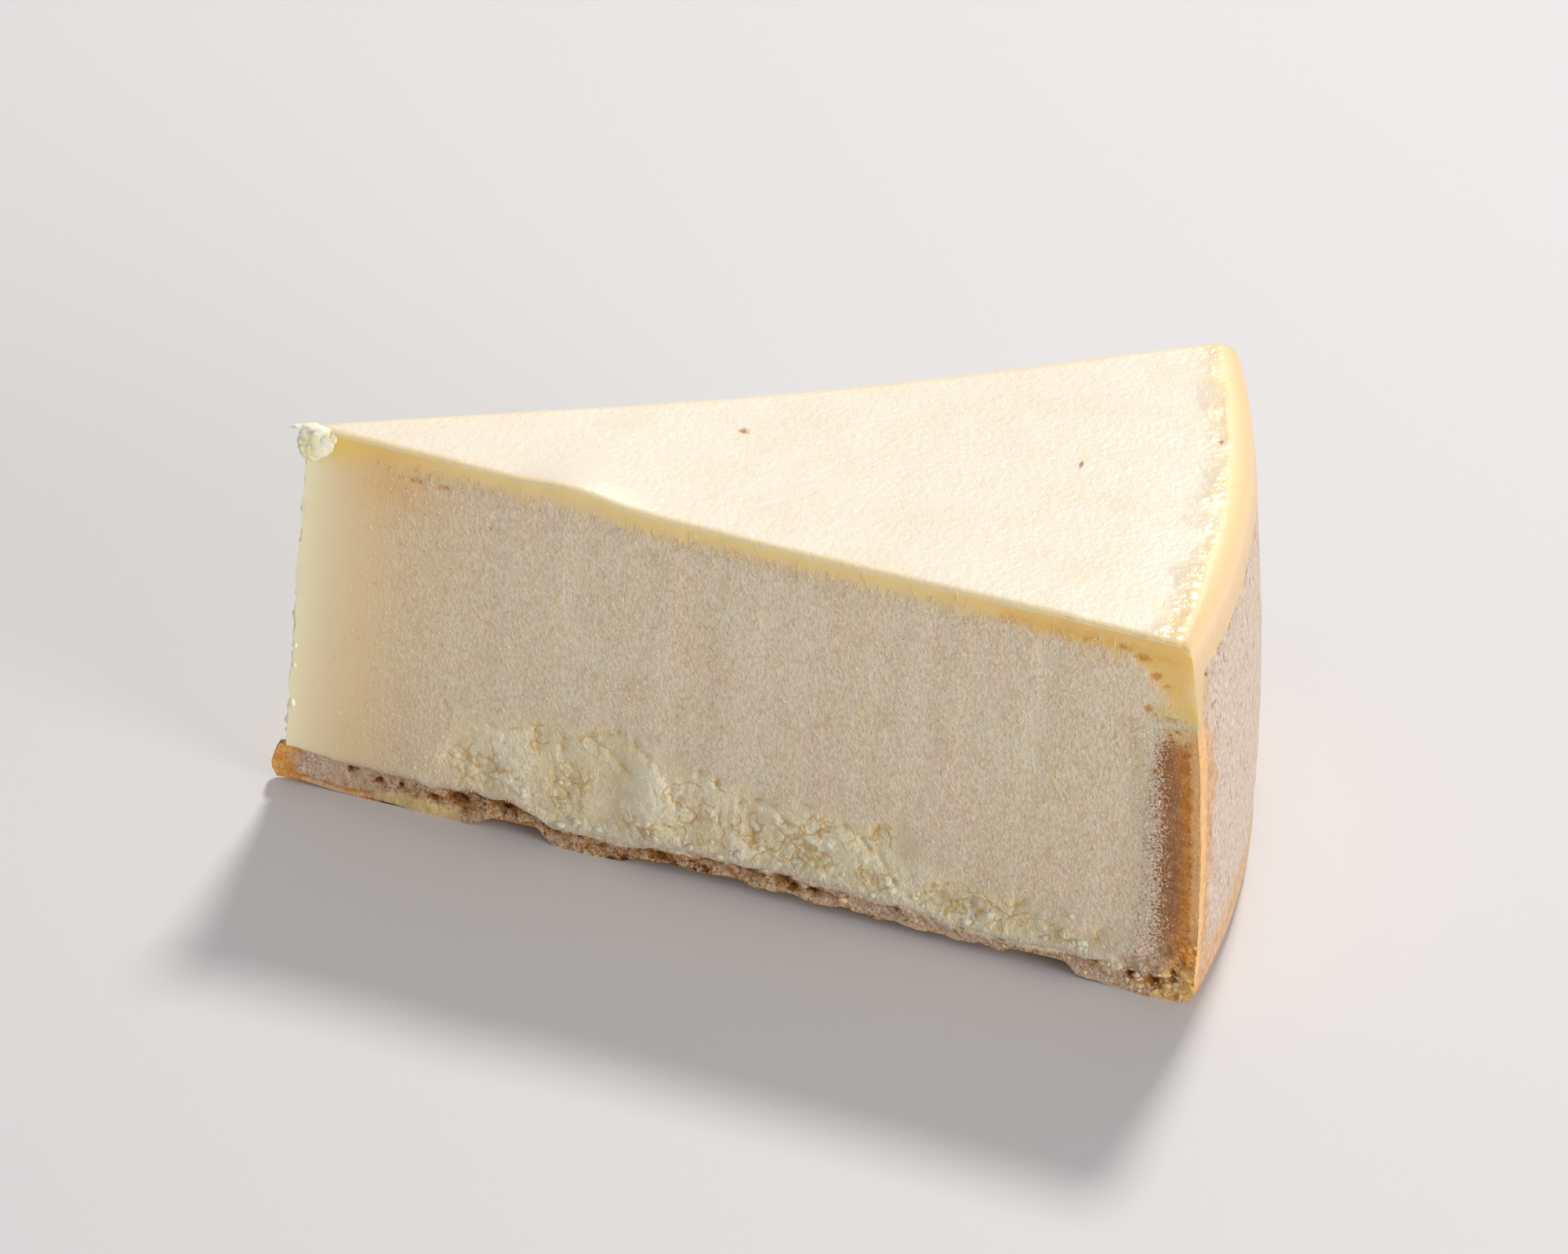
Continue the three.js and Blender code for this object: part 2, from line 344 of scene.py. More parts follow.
def makeCamera():
    down, yaw = view["lookDown"], view["yaw"]
    right = Vector((math.cos(yaw), -math.sin(yaw), 0))
    forward = Vector((math.sin(yaw) * math.cos(down), math.cos(yaw) * math.cos(down), -math.sin(down)))
    up = right.cross(forward)
    target = Vector(view["target"]) - Vector((middleX, 0, 0))
    place = target - forward * view["distance"]
    # the slice sits a little right of and below the picture's middle
    aim = target - right * (view["aimLeft"] / view["focalPixels"] * view["distance"])
    aim = aim + up * (view["aimUp"] / view["focalPixels"] * view["distance"])
    looking = (aim - place).normalized()
    side = looking.cross(Vector((0, 0, 1))).normalized()
    upright = side.cross(looking)
    data = bpy.data.cameras.new("camera")
    data.sensor_width = 36
    data.lens = view["focalPixels"] / view["imageWidth"] * data.sensor_width
    data.clip_start, data.clip_end = 0.05, 20
    camera = bpy.data.objects.new("camera", data)
    camera.matrix_world = Matrix((
        (side.x, upright.x, -looking.x, place.x * metresPerMm),
        (side.y, upright.y, -looking.y, place.y * metresPerMm),
        (side.z, upright.z, -looking.z, place.z * metresPerMm),
        (0, 0, 0, 1),
    ))
    bpy.context.collection.objects.link(camera)
    bpy.context.scene.camera = camera
    return right, forward


rightWay, forwardWay = makeCamera()
print("camera placed")

# ---- materials

def hexColour(text):
    linear = []
    for n in (1, 3, 5):
        c = int(text[n:n + 2], 16) / 255
        linear.append(c / 12.92 if c <= 0.04045 else ((c + 0.055) / 1.055) ** 2.4)
    return (*linear, 1)


# one node with its inputs (a value, a hex colour or a link) and settings; gives the output asked for
def addNode(tree, kind, inputs, settings=None, out=0):
    node = tree.nodes.new("ShaderNode" + kind)
    for name, value in (settings or {}).items():
        setattr(node, name, value)
    for name, value in inputs.items():
        if isinstance(value, bpy.types.NodeSocket):
            tree.links.new(value, node.inputs[name])
        else:
            node.inputs[name].default_value = hexColour(value) if isinstance(value, str) else value
    return node.outputs[out] if len(node.outputs) else None


def startMaterial(name):
    material = bpy.data.materials.new(name)
    material.use_nodes = True
    material.node_tree.nodes.clear()
    return material, material.node_tree


# a noise whose grain has a real size in millimetres, or its share between two levels
def drawPattern(tree, where, size, detail=3, roughness=0.6, stretch=None, levels=None, most=1):
    if stretch:
        where = addNode(tree, "Mapping", {"Vector": where, "Scale": stretch})
    grain = {"Vector": where, "Scale": 1000 / size, "Detail": detail, "Roughness": roughness}
    noise = addNode(tree, "TexNoise", grain, out="Fac")
    if levels:
        noise = addNode(tree, "MapRange", {0: noise, 1: levels[0], 2: levels[1], 4: most})
    return noise


# a share that turns from 0 to 1 where a mask, roughened by a noise, passes from low to high
def raggedShare(tree, mask, noise, roughness, low, high):
    moved = addNode(tree, "Math", {0: noise, 1: roughness, 2: -roughness / 2}, {"operation": "MULTIPLY_ADD"})
    total = addNode(tree, "Math", {0: mask, 1: moved}, {"operation": "ADD"})
    return addNode(tree, "MapRange", {0: total, 1: low, 2: high}, {"interpolation_type": "SMOOTHSTEP"})


# one colour laid over another by a mask, with a ragged edge if a noise and its levels follow
def layOver(tree, under, over, mask, *ragged):
    if ragged:
        mask = raggedShare(tree, mask, *ragged)
    return addNode(tree, "Mix", {0: mask, 6: under, 7: over}, {"data_type": "RGBA"}, 2)


# colours laid one after another: each with its mask's name, and its noise and levels if it is ragged
def layAll(tree, colour, masks, layers):
    for name, over, *ragged in layers:
        colour = layOver(tree, colour, over, masks[name], *ragged)
    return colour


def masksOf(tree, names):
    return {name: addNode(tree, "Attribute", {}, {"attribute_name": name}, "Fac") for name in names.split()}


# relief, gloss and the glow of light that has gone through the surface
def closeMaterial(material, look, colour, roughness, relief=None):
    tree = material.node_tree
    inputs = {"Base Color": colour, "Roughness": roughness, "IOR": look["ior"],
              "Specular IOR Level": look["specular"]}
    if "glow" in look:
        inputs["Subsurface Weight"] = look["glow"]
        inputs["Subsurface Radius"] = look["glowRadius"]
        inputs["Subsurface Scale"] = look["glowMm"] * metresPerMm
    if relief is not None:
        bump = {"Strength": look["bump"], "Distance": look["bumpMm"] * metresPerMm, "Height": relief}
        inputs["Normal"] = addNode(tree, "Bump", bump)
    shader = addNode(tree, "BsdfPrincipled", inputs, {"subsurface_method": "RANDOM_WALK"})
    addNode(tree, "OutputMaterial", {"Surface": shader})
    return material


# baked cream cheese skin: set in the oven to a smooth, faintly glossy cream, yellower and wetter at the rim
skinLook = dict(
    middle="#F8ECDA",
    mottled="#F6E5CA",
    rim="#F6DBA2",
    # the skin's yellow at the cut edges, made brighter as painted light on the rounded edge
    edge="#FFE0A0",
    outerRim="#D6B890",
    side="#D4B48C",
    sideLow="#CAAC7C",
    speck="#B5793A",
    mottleMm=7.0,
    fineMm=0.9,
    beadMm=1.4,
    beadPatchMm=5.6,
    roughDry=0.4,
    roughWet=0.2,
    ior=1.45,
    specular=0.5,
    glow=0.35,
    glowRadius=(1.0, 0.55, 0.25),
    glowMm=3.0,
    bump=0.25,
    bumpMm=0.4,
)


def bakedSkin():
    look = skinLook
    material, tree = startMaterial("bakedSkin")
    where = addNode(tree, "TexCoord", {}, out="Object")
    masks = masksOf(tree, "rimZone sideZone speck beads cutEdge outerRim")
    mottle = drawPattern(tree, where, look["mottleMm"], 4)
    fine = drawPattern(tree, where, look["fineMm"], 2)
    bead = drawPattern(tree, where, look["beadMm"], 2, 0.5)
    beadPatch = drawPattern(tree, where, look["beadPatchMm"], 2, 0.5)
    mottled = addNode(tree, "MapRange", {0: mottle, 1: 0.45, 2: 0.75})
    colour = layOver(tree, look["middle"], look["mottled"], mottled)
    side = layOver(tree, look["side"], look["sideLow"], masks["sideZone"])
    masks["side"] = addNode(tree, "MapRange", {0: masks["sideZone"], 1: 0.0, 2: 0.15})
    colour = layAll(tree, colour, masks, [
        ("rimZone", look["rim"], mottle, 0.5, 0.1, 1.0),
        ("outerRim", look["outerRim"]),
        # yellow at the cut edges: the skin's own yellow and painted light
        ("cutEdge", look["edge"]),
        ("side", side),
        ("speck", look["speck"], fine, 0.8, 0.3, 0.8),
    ])
    wet = raggedShare(tree, masks["beads"], beadPatch, 2.0, 0.55, 1.1)
    relief = addNode(tree, "Math", {0: bead, 1: wet}, {"operation": "MULTIPLY"})
    relief = addNode(tree, "Math", {0: relief, 1: 1.6, 2: fine}, {"operation": "MULTIPLY_ADD"})
    rough = addNode(tree, "MapRange", {0: wet, 3: look["roughDry"], 4: look["roughWet"]})
    return closeMaterial(material, look, colour, rough, relief)


# cut cream cheese: sliced frozen, so fine upright frost grains grey and felt it, with curds where it tore
cutLook = dict(
    frostLight="#FFF7E4",
    frostDark="#D6B88C",
    frostPink="#FBDFC0",
    frostCream="#F6E8C4",
    streak="#FFF1DE",
    bare="#F6D8AA",
    curdLight="#FFF2D4",
    curd="#F3E1BA",
    # ochre of the bare cream in the cracks, darkened as painted shade
    ochre="#E4BC68",
    peach="#F1D2A6",
    band="#FEE09C",
    warm="#F6CB8C",
    warmBand="#F9CE7C",
    cornerGold="#F9D487",
    edgeCream="#F9E0AA",
    # painted glow: the thin tip is lightened as if light shone through it
    tip="#FCEDC6",
    tipGold="#FFE070",
    gold="#F2C26A",
    brown="#DDA048",
    violet="#A8875E",
    dust="#DCC0A6",
    wallBrown="#A87850",
    grainMm=0.45,  # frost grains stand upright, twice as tall as wide, and are drawn coarser than real
    needleMm=0.8,
    streakMm=5.0,
    curdMm=1.5,
    curlMm=3.2,
    fleckMm=0.8,
    driftMm=12.0,
    roughBare=0.45,
    roughFrosted=0.85,
    ior=1.45,
    specular=0.3,
    glow=0.3,
    glowRadius=(1.0, 0.6, 0.3),
    glowMm=3.0,
    bump=0.8,
    bumpMm=0.5,
)


def cutCreamCheese():
    look = cutLook
    material, tree = startMaterial("cutCreamCheese")
    where = addNode(tree, "TexCoord", {}, out="Object")
    masks = masksOf(tree, "band torn crevice peach tipGlow frost gold raised brown fringe curls"
                          " corner edgeStrip dust warm warmBand tipGold wallLine")
    grain = drawPattern(tree, where, look["grainMm"], 3, 0.75, (1, 1, 0.55))
    needles = drawPattern(tree, where, look["needleMm"], 3, 0.7, (1, 1, 0.3))
    drift = drawPattern(tree, where, look["driftMm"], 2, levels=(0.38, 0.62))
    streak = drawPattern(tree, where, look["streakMm"], 3, 0.6, (1, 1, 0.1), (0.42, 0.66), 0.22)
    curdNoise = drawPattern(tree, where, look["curdMm"], 4, 0.65)
    fleck = drawPattern(tree, where, look["fleckMm"], 3, 0.7)
    grainShare = addNode(tree, "MapRange", {0: grain, 1: 0.34, 2: 0.66})
    frosted = layOver(tree, look["frostDark"], look["frostLight"], grainShare)
    frosted = layOver(tree, frosted, layOver(tree, look["frostPink"], look["frostCream"], drift), 0.4)
    frosted = layOver(tree, frosted, look["streak"], streak)
    curd = layAll(tree, look["curd"], masks, [
        ("raised", look["curdLight"], curdNoise, 1.6, 0.1, 1.1),
        ("peach", look["peach"], curdNoise, 1.2, 0.25, 1.1),
    ])
    bandColour = layOver(tree, look["band"], look["cornerGold"], masks["corner"])
    bandColour = layOver(tree, bandColour, look["warmBand"], masks["warmBand"])
    # fine curled seams between the curds: the lines where a noise crosses its middle value
    curl = drawPattern(tree, where, look["curlMm"], 2, 0.5)
    fromMiddle = addNode(tree, "Math", {0: curl, 1: 0.5}, {"operation": "SUBTRACT"})
    fromMiddle = addNode(tree, "Math", {0: fromMiddle}, {"operation": "ABSOLUTE"})
    seam = addNode(tree, "MapRange", {0: fromMiddle, 1: 0.04, 2: 0.004, 4: 0.75})
    seamShare = raggedShare(tree, masks["curls"], curdNoise, 1.6, 0.2, 1.0)
    masks["seam"] = addNode(tree, "Math", {0: seam, 1: seamShare}, {"operation": "MULTIPLY"})
    face = layAll(tree, look["bare"], masks, [
        ("frost", frosted, fleck, 0.9, 0.0, 1.0),
        ("warm", look["warm"]),
        ("torn", curd, curdNoise, 1.1, 0.0, 1.0),
        # ochre cracks: the bare cream's own colour and painted shade in them
        ("crevice", look["ochre"], fleck, 2.6, 0.35, 1.5),
        ("seam", look["ochre"]),
        ("fringe", look["wallBrown"], grain, 2.2, 0.5, 1.1),
        ("dust", look["dust"], fleck, 2.0, 0.35, 1.15),  # crumb of the crust clings to the filling's foot
        ("band", bandColour, needles, 1.8, 0.0, 1.0),
        # painted glow of light through the thin tip
        ("tipGlow", look["tip"]),
        ("tipGold", look["tipGold"], curdNoise, 0.5, 0.0, 1.0),
        ("gold", look["gold"], fleck, 1.2, 0.1, 1.0),
        ("wallLine", look["violet"], fleck, 2.2, 0.35, 1.15),  # cream dried to a dark seam at the wall
        ("edgeStrip", look["edgeCream"], fleck, 0.5, 0.1, 0.9),
        ("brown", look["brown"], fleck, 1.2, 0.2, 0.8),
    ])
    grainHeight = addNode(tree, "Math", {0: grain, 1: masks["frost"]}, {"operation": "MULTIPLY"})
    curdHeight = addNode(tree, "Math", {0: masks["seam"], 1: -0.5, 2: fleck}, {"operation": "MULTIPLY_ADD"})
    curdHeight = addNode(tree, "Math", {0: curdHeight, 1: masks["torn"]}, {"operation": "MULTIPLY"})
    relief = addNode(tree, "Math", {0: curdHeight, 1: grainHeight}, {"operation": "ADD"})
    matt = addNode(tree, "Math", {0: masks["frost"], 1: masks["torn"]}, {"operation": "MAXIMUM"})
    rough = addNode(tree, "MapRange", {0: matt, 3: look["roughBare"], 4: look["roughFrosted"]})
    return closeMaterial(material, look, face, rough, relief)


# baked biscuit crumb: pressed and browned with butter, under a pinkish bloom of frost
crumbLook = dict(
    tan="#D0A06A",
    orangeLight="#E99E42",
    orangeDark="#B66A28",
    endLight="#F8BA66",
    endDark="#D8903E",
    brown="#B88254",
    brownDeep="#9A6640",
    deep="#623A18",
    halo="#B07838",
    frostLight="#F1D8BE",
    frostDark="#B28E72",
    wallFrost="#EAD6C4",
    mauve="#D8BA9E",
    sideFrostLight="#D6C9BD",
    sideFrostDark="#B59B84",
    sideFleck="#A4764E",
    sideTan="#D2AC80",
    outerLight="#D2B492",
    outerDark="#B88E66",
    wallLight="#F0CE98",
    ridge="#EDB97A",
    lip="#ECCAA0",
    # golden crumb of the heel, lightened as painted light on the corner
    heelCrumb="#FACB80",
    flake="#EACB94",
    grainMm=0.45,  # frost again, drawn coarser than real
    fleckMm=0.81,
    dotMm=0.32,
    rippleMm=0.9,
    haloMm=0.7,
    deepMm=0.9,
    crumbMm=1.3,
    patchMm=5.0,
    roughness=0.85,
    ior=1.45,
    specular=0.3,
    glow=0.12,
    glowRadius=(1.0, 0.5, 0.25),
    glowMm=1.5,
    bump=0.7,
    bumpMm=0.5,
)


def bakedCrumb():
    look = crumbLook
    material, tree = startMaterial("bakedCrumb")
    where = addNode(tree, "TexCoord", {}, out="Object")
    masks = masksOf(tree, "bloom sideBloom fringe brown pit orange ridge flake cream speckle lip"
                          " wallHead mauve sideHead heelCrumb outer tipEnd")
    grain = drawPattern(tree, where, look["grainMm"], 3, 0.7)
    upright = drawPattern(tree, where, look["grainMm"], 3, 0.75, (1, 1, 0.55), (0.34, 0.66))
    fleck = drawPattern(tree, where, look["fleckMm"], 3, 0.7)
    uprightFleck = drawPattern(tree, where, look["fleckMm"], 3, 0.7, (1, 1, 0.35))
    ripple = drawPattern(tree, where, look["rippleMm"], 3, 0.6, (0.35, 0.35, 1))
    crumb = drawPattern(tree, where, look["crumbMm"], 4, 0.7)
    patch = drawPattern(tree, where, look["patchMm"], 4, 0.65)
    dots = drawPattern(tree, where, look["dotMm"], 2, 0.6)
    haloNoise = drawPattern(tree, where, look["haloMm"], 3, 0.75)
    deepNoise = drawPattern(tree, where, look["deepMm"], 3, 0.75)
    grainShare = addNode(tree, "MapRange", {0: grain, 1: 0.34, 2: 0.66})
    crumbShare = addNode(tree, "MapRange", {0: crumb, 1: 0.35, 2: 0.65})
    rippleShare = addNode(tree, "MapRange", {0: ripple, 1: 0.35, 2: 0.65})
    darkFlecks = addNode(tree, "MapRange", {0: uprightFleck, 1: 0.43, 2: 0.32, 4: 0.85})
    biscuit = 0.0
    for share in (crumbShare, rippleShare):
        biscuit = addNode(tree, "Math", {0: share, 1: 0.5, 2: biscuit}, {"operation": "MULTIPLY_ADD"})
    # frost over the wall's inner part: whole next to the filling, thinning out in dots to bare brown
    frostedWall = layOver(tree, cutLook["frostDark"], cutLook["frostLight"], upright)
    frostedWall = layOver(tree, frostedWall, look["wallFrost"], 0.5)
    frost = layOver(tree, look["frostDark"], look["frostLight"], grainShare)
    frost = layOver(tree, frost, look["mauve"], masks["mauve"], grain, 0.6, 0.2, 1.2)
    sideFrost = layOver(tree, look["sideFrostDark"], look["sideFrostLight"], upright)
    sideFrost = layOver(tree, sideFrost, look["sideFleck"], darkFlecks)
    outerColour = layOver(tree, look["outerDark"], look["outerLight"], crumbShare)
    outerColour = layOver(tree, outerColour, look["outerDark"], darkFlecks)
    masks["sideBloom"] = raggedShare(tree, masks["sideBloom"], patch, 0.8, 0.0, 0.85)
    colour = layAll(tree, layOver(tree, look["brown"], look["tan"], crumbShare), masks, [
        # orange biscuit at the tip and the low stripe, and painted light along the cut's outer edge
        ("orange", layOver(tree, look["orangeDark"], look["orangeLight"], biscuit)),
        ("tipEnd", layOver(tree, look["endDark"], look["endLight"], biscuit)),
        ("brown", layOver(tree, look["brownDeep"], look["brown"], rippleShare), ripple, 0.8, 0.1, 0.9),
        ("wallHead", look["wallLight"], fleck, 1.2, 0.0, 1.0),
        ("ridge", look["ridge"], ripple, 0.8, 0.1, 0.9),
        ("fringe", frostedWall, dots, 3.2, 0.35, 0.8),
        ("bloom", frost, crumb, 2.0, 0.15, 0.9),
        ("lip", look["lip"], patch, 2.4, 0.5, 1.3),
        # painted light: the heel's golden crumb lightened
        ("heelCrumb", look["heelCrumb"], crumb, 2.4, 0.3, 1.0),
        ("speckle", look["halo"], haloNoise, 4.5, 0.45, 1.0),
        ("speckle", look["deep"], deepNoise, 4.5, 0.8, 1.35),
        ("outer", outerColour),
        ("sideHead", look["sideTan"], patch, 1.0, 0.1, 0.9),
        ("sideBloom", sideFrost, uprightFleck, 1.8, 0.1, 0.75),
        ("flake", look["flake"], crumb, 0.6, 0.2, 0.8),
        ("cream", cutLook["curd"], crumb, 1.2, 0.3, 0.8),
        ("pit", look["halo"], fleck, 1.6, 0.05, 0.7),
        ("pit", look["deep"], fleck, 2.0, 0.35, 0.95),
    ])
    relief = grain
    for noise in (crumb, ripple):
        relief = addNode(tree, "Math", {0: noise, 1: 1.0, 2: relief}, {"operation": "MULTIPLY_ADD"})
    return closeMaterial(material, look, colour, look["roughness"], relief)


# the small things on the cuts: their colours, the noise and levels between two of them, and the finish;
# a pattern is a grain in millimetres, its detail and its roughness
looseLooks = dict(
    # frost needles: crystals of ice, white and softly lit through
    frostIce=dict(colours=["#F6E4C2"], roughness=0.5, ior=1.31, specular=0.5, glow=0.3,
                  glowRadius=(1.0, 0.8, 0.6), glowMm=1.0),
    # cream cheese curds: broken, not cut, so matt and softly lit through
    brokenCurd=dict(colours=["#F3E1BA", "#FBEFCC"], pattern=(0.8, 3, 0.7), levels=(0.35, 0.65),
                    roughness=0.85, ior=1.45, specular=0.3, glow=0.4, glowRadius=(1.0, 0.7, 0.4),
                    glowMm=2.0, bump=0.6, bumpMm=0.4),
    # cream dragged out by the knife: soft, pale and only faintly lit through
    draggedCream=dict(colours=["#FEF3C0", "#FFFAE6"], pattern=(2.5, 2, 0.6), levels=(0.4, 0.6),
                      roughness=0.7, ior=1.4, specular=0.3, glow=0.12, glowRadius=(1.0, 0.8, 0.5),
                      glowMm=0.8),
    # broken biscuit: golden grains, some of them frosted
    brokenCrumb=dict(colours=["#C6924E", "#F4CE8E"], pattern=(1.3, 3, 0.7), levels=(0.35, 0.65),
                     frost="#F1D8BE", frostPattern=(3.0, 2, 0.6), frostLevels=(0.4, 0.55),
                     roughness=0.8, ior=1.45, specular=0.5, bump=0.6, bumpMm=0.4),
)


def looseMaterial(name):
    look = looseLooks[name]
    material, tree = startMaterial(name)
    colour, relief = look["colours"][0], None
    if "pattern" in look:
        where = addNode(tree, "TexCoord", {}, out="Object")
        noise = drawPattern(tree, where, *look["pattern"])
        share = addNode(tree, "MapRange", {0: noise, 1: look["levels"][0], 2: look["levels"][1]})
        colour = layOver(tree, *look["colours"], share)
        relief = noise if "bump" in look else None
    if "frost" in look:
        frosted = drawPattern(tree, where, *look["frostPattern"], levels=look["frostLevels"])
        colour = layOver(tree, colour, look["frost"], frosted)
    return closeMaterial(material, look, colour, look["roughness"], relief)


skinMaterial = bakedSkin()
cutMaterial = cutCreamCheese()
crumbMaterial = bakedCrumb()
frostMaterial = looseMaterial("frostIce")
curdMaterial = looseMaterial("brokenCurd")
draggedMaterial = looseMaterial("draggedCream")
looseCrumbMaterial = looseMaterial("brokenCrumb")
print("materials made")


# ---- the filling

fillingMesh = dict(
    alongCells=204,
    acrossCells=40,
    acrossPacking=1.5,
    filletCells=10,
    wallCells=44,
    bandCells=18,
    rimCells=8,
    lowPacking=1.12,
    edgeRounding=0.9,
    edgeBump=0.9,
    rimRipple=0.14,
    rimRoundingNear=1.5,
    ledgeDrop=1.4,
    backOverlap=0.15,
    fineNear=(19, 0.42),
    fineFar=(8, 0.4),
    fineBack=104,
    tipNubs=0.35,
    topWaves=0.10,
)

# cracks in the near cut: depth, half width and the line they run along, as distance and height
nearCracks = [
    (0.3, 0.35, [(22.2, 18.4), (22.9, 16.6), (22.7, 14.9)]),
    (0.3, 0.3, [(28.4, 16.9), (30.4, 16.6), (32.6, 16.9)]),
    (0.4, 0.45, [(30.7, 16.0), (30.4, 14.0)]),
    (0.5, 0.4, [(29.6, 9.9), (31.4, 9.5), (33.6, 8.8)]),
    (0.7, 0.6, [(38.8, 17.0), (39.2, 15.4), (39.0, 14.9)]),
    (0.4, 0.4, [(39.0, 13.9), (40.0, 13.2)]),
    (0.7, 0.55, [(45.6, 16.4), (46.6, 15.8), (47.8, 14.6), (48.9, 13.2)]),
    (0.6, 0.4, [(48.6, 19.2), (49.7, 18.2), (50.5, 16.9)]),
    (0.4, 0.3, [(50.2, 20.2), (52.0, 19.9)]),
    (0.4, 0.35, [(51.8, 16.6), (52.7, 15.4)]),
    (0.8, 0.6, [(53.4, 14.7), (54.3, 13.7)]),
    (0.7, 0.35, [(54.9, 12.4), (55.4, 11.3), (55.3, 9.6)]),
    (1.0, 0.25, [(52.4, 7.3), (53.8, 7.1), (55.0, 7.3)]),
    (1.0, 0.3, [(63.2, 12.6), (63.6, 14.3), (65.4, 15.0), (68.0, 14.8), (69.4, 13.7), (70.6, 12.4)]),
    (0.6, 0.8, [(65.0, 12.2), (65.5, 10.0), (66.0, 7.4)]),
    (0.9, 0.28, [(74.6, 12.2), (75.9, 13.9), (77.8, 14.6), (79.6, 14.1), (80.8, 12.9), (81.5, 11.8)]),
    (0.5, 0.4, [(76.0, 12.6), (77.4, 11.9), (77.0, 11.0)]),
    (0.6, 0.3, [(82.4, 14.6), (82.9, 13.2), (83.0, 11.8)]),
    (0.9, 0.25, [(81.5, 11.8), (83.0, 11.6), (84.0, 9.6), (86.4, 6.6)]),
    (0.5, 0.3, [(92.0, 7.6), (93.6, 7.4), (94.8, 6.3)]),
    (1.3, 0.35, [(114.6, 5.4), (117.6, 5.1)]),
]

# bared ochre and peach patches of the near cut: distance, height, radius, and how ochre
nearPatches = [
    (25.5, 10.2, 0.8, 0.2), (29.0, 10.4, 1.6, 0.15), (35.0, 16.6, 0.5, 0.5), (40.6, 10.7, 0.8, 0.2),
    (39.6, 7.6, 0.8, 0.3), (42.8, 17.7, 0.5, 0.5), (46.0, 20.1, 0.5, 0.5), (50.4, 6.1, 0.8, 0.4),
    (58.6, 9.7, 1.3, 0.1), (55.6, 12.3, 0.9, 0.2), (60.0, 16.5, 0.6, 0.4), (57.7, 16.7, 0.4, 0.4),
    (65.6, 8.4, 1.8, 0.1), (70.6, 10.4, 1.0, 0.1), (72.7, 9.0, 1.1, 0.2), (74.2, 12.1, 0.8, 0.5),
    (75.2, 8.9, 0.9, 0.3), (82.9, 14.9, 0.8, 0.5), (82.4, 7.2, 0.8, 0.5), (92.1, 7.1, 1.0, 0.3),
    (102.1, 9.1, 1.3, 0.4), (107.5, 6.1, 0.7, 0.6), (72.4, 16.2, 0.8, 0.1), (96.0, 7.0, 0.8, 0.2),
    (113.4, 7.8, 0.7, 0.3), (26.0, 47.0, 0.35, 0.9),
]

farCracks = [(deep, width, [(112.0 - x, y) for x, y in path]) for deep, width, path in nearCracks[:-1]]
farPatches = [(112.0 - x, y, radius, ochre) for x, y, radius, ochre in nearPatches[:-1]]

# golden-brown pits along the yellow band, most of them where it turns down the near corner
bandPits = [
    (110.8, 52.1, 0.8, 0.45), (113.6, 50.9, 0.9, 0.6), (115.6, 48.6, 0.7, 0.6), (117.4, 47.4, 0.4, 0.4),
    (115.4, 43.6, 0.5, 0.5), (106.0, 52.0, 0.4, 0.3), (15.5, 51.6, 0.9, 0.35), (19.5, 51.4, 0.7, 0.3),
    (25.4, 47.0, 0.35, 0.3),
]
# the golden line that runs to the near corner
cornerGold = [(96, 52.6), (106, 52.4), (113, 52.0), (117.5, 51.5)]

# clusters of dark crumb in the near cut of the crust: distance, height, half width, half height
nearCrumbs = [
    (9.6, 4.3, 0.8, 0.5), (13.8, 3.4, 0.5, 0.5), (17.5, 3.4, 0.45, 0.4), (21.5, 2.9, 0.8, 0.5),
    (25.2, 3.4, 1.6, 1.4), (27.6, 5.4, 0.9, 0.5), (30.6, 5.2, 1.4, 1.0), (32.0, 3.8, 1.5, 1.3),
    (34.8, 4.4, 1.2, 0.8), (39.0, 3.1, 2.2, 1.1), (42.4, 2.9, 1.3, 0.8),
    (51.2, 3.6, 2.2, 1.1), (53.6, 2.6, 1.4, 0.8),
    (57.2, 5.4, 1.4, 0.8), (60.4, 4.8, 2.2, 1.0), (63.6, 5.6, 1.0, 0.8), (65.8, 4.2, 1.9, 0.7),
    (70.6, 4.6, 1.5, 1.6), (72.0, 2.8, 0.9, 1.0), (74.8, 2.8, 1.2, 0.5), (85.7, 3.9, 0.9, 0.6),
    (83.6, 4.6, 0.6, 0.4), (91.6, 3.7, 0.9, 0.4), (95.0, 3.6, 0.9, 0.5), (101.5, 3.6, 0.7, 0.5),
    (113.5, 3.4, 0.8, 0.5), (118.2, 2.6, 0.8, 0.7), (121.4, 2.2, 1.2, 0.9), (124.0, 3.6, 0.8, 1.0),
]

# browned specks on the skin: distance along and across from the slice's middle line, radius
topSpecks = [
    (60.2, 7.1, 1.0), (79.0, -22.1, 0.35), (103.5, 4.0, 0.3), (120.7, 10.0, 0.45), (120.6, -4.0, 0.3),
]


def distanceToLine(x, y, line):
    closest = np.full(np.shape(x), 99.0)
    for (ax, ay), (bx, by) in zip(line, line[1:]):
        length = (bx - ax) ** 2 + (by - ay) ** 2
        t = np.clip(((x - ax) * (bx - ax) + (y - ay) * (by - ay)) / length, 0, 1)
        closest = np.minimum(closest, np.hypot(x - ax - t * (bx - ax), y - ay - t * (by - ay)))
    return closest


def spotField(x, y, spots):
    field = 0 * x
    for spot in spots:
        wide, tall = spot[2], spot[3] if len(spot) > 3 else spot[2]
        field = np.maximum(field, hump((x - spot[0]) / wide, (y - spot[1]) / tall))
    return field


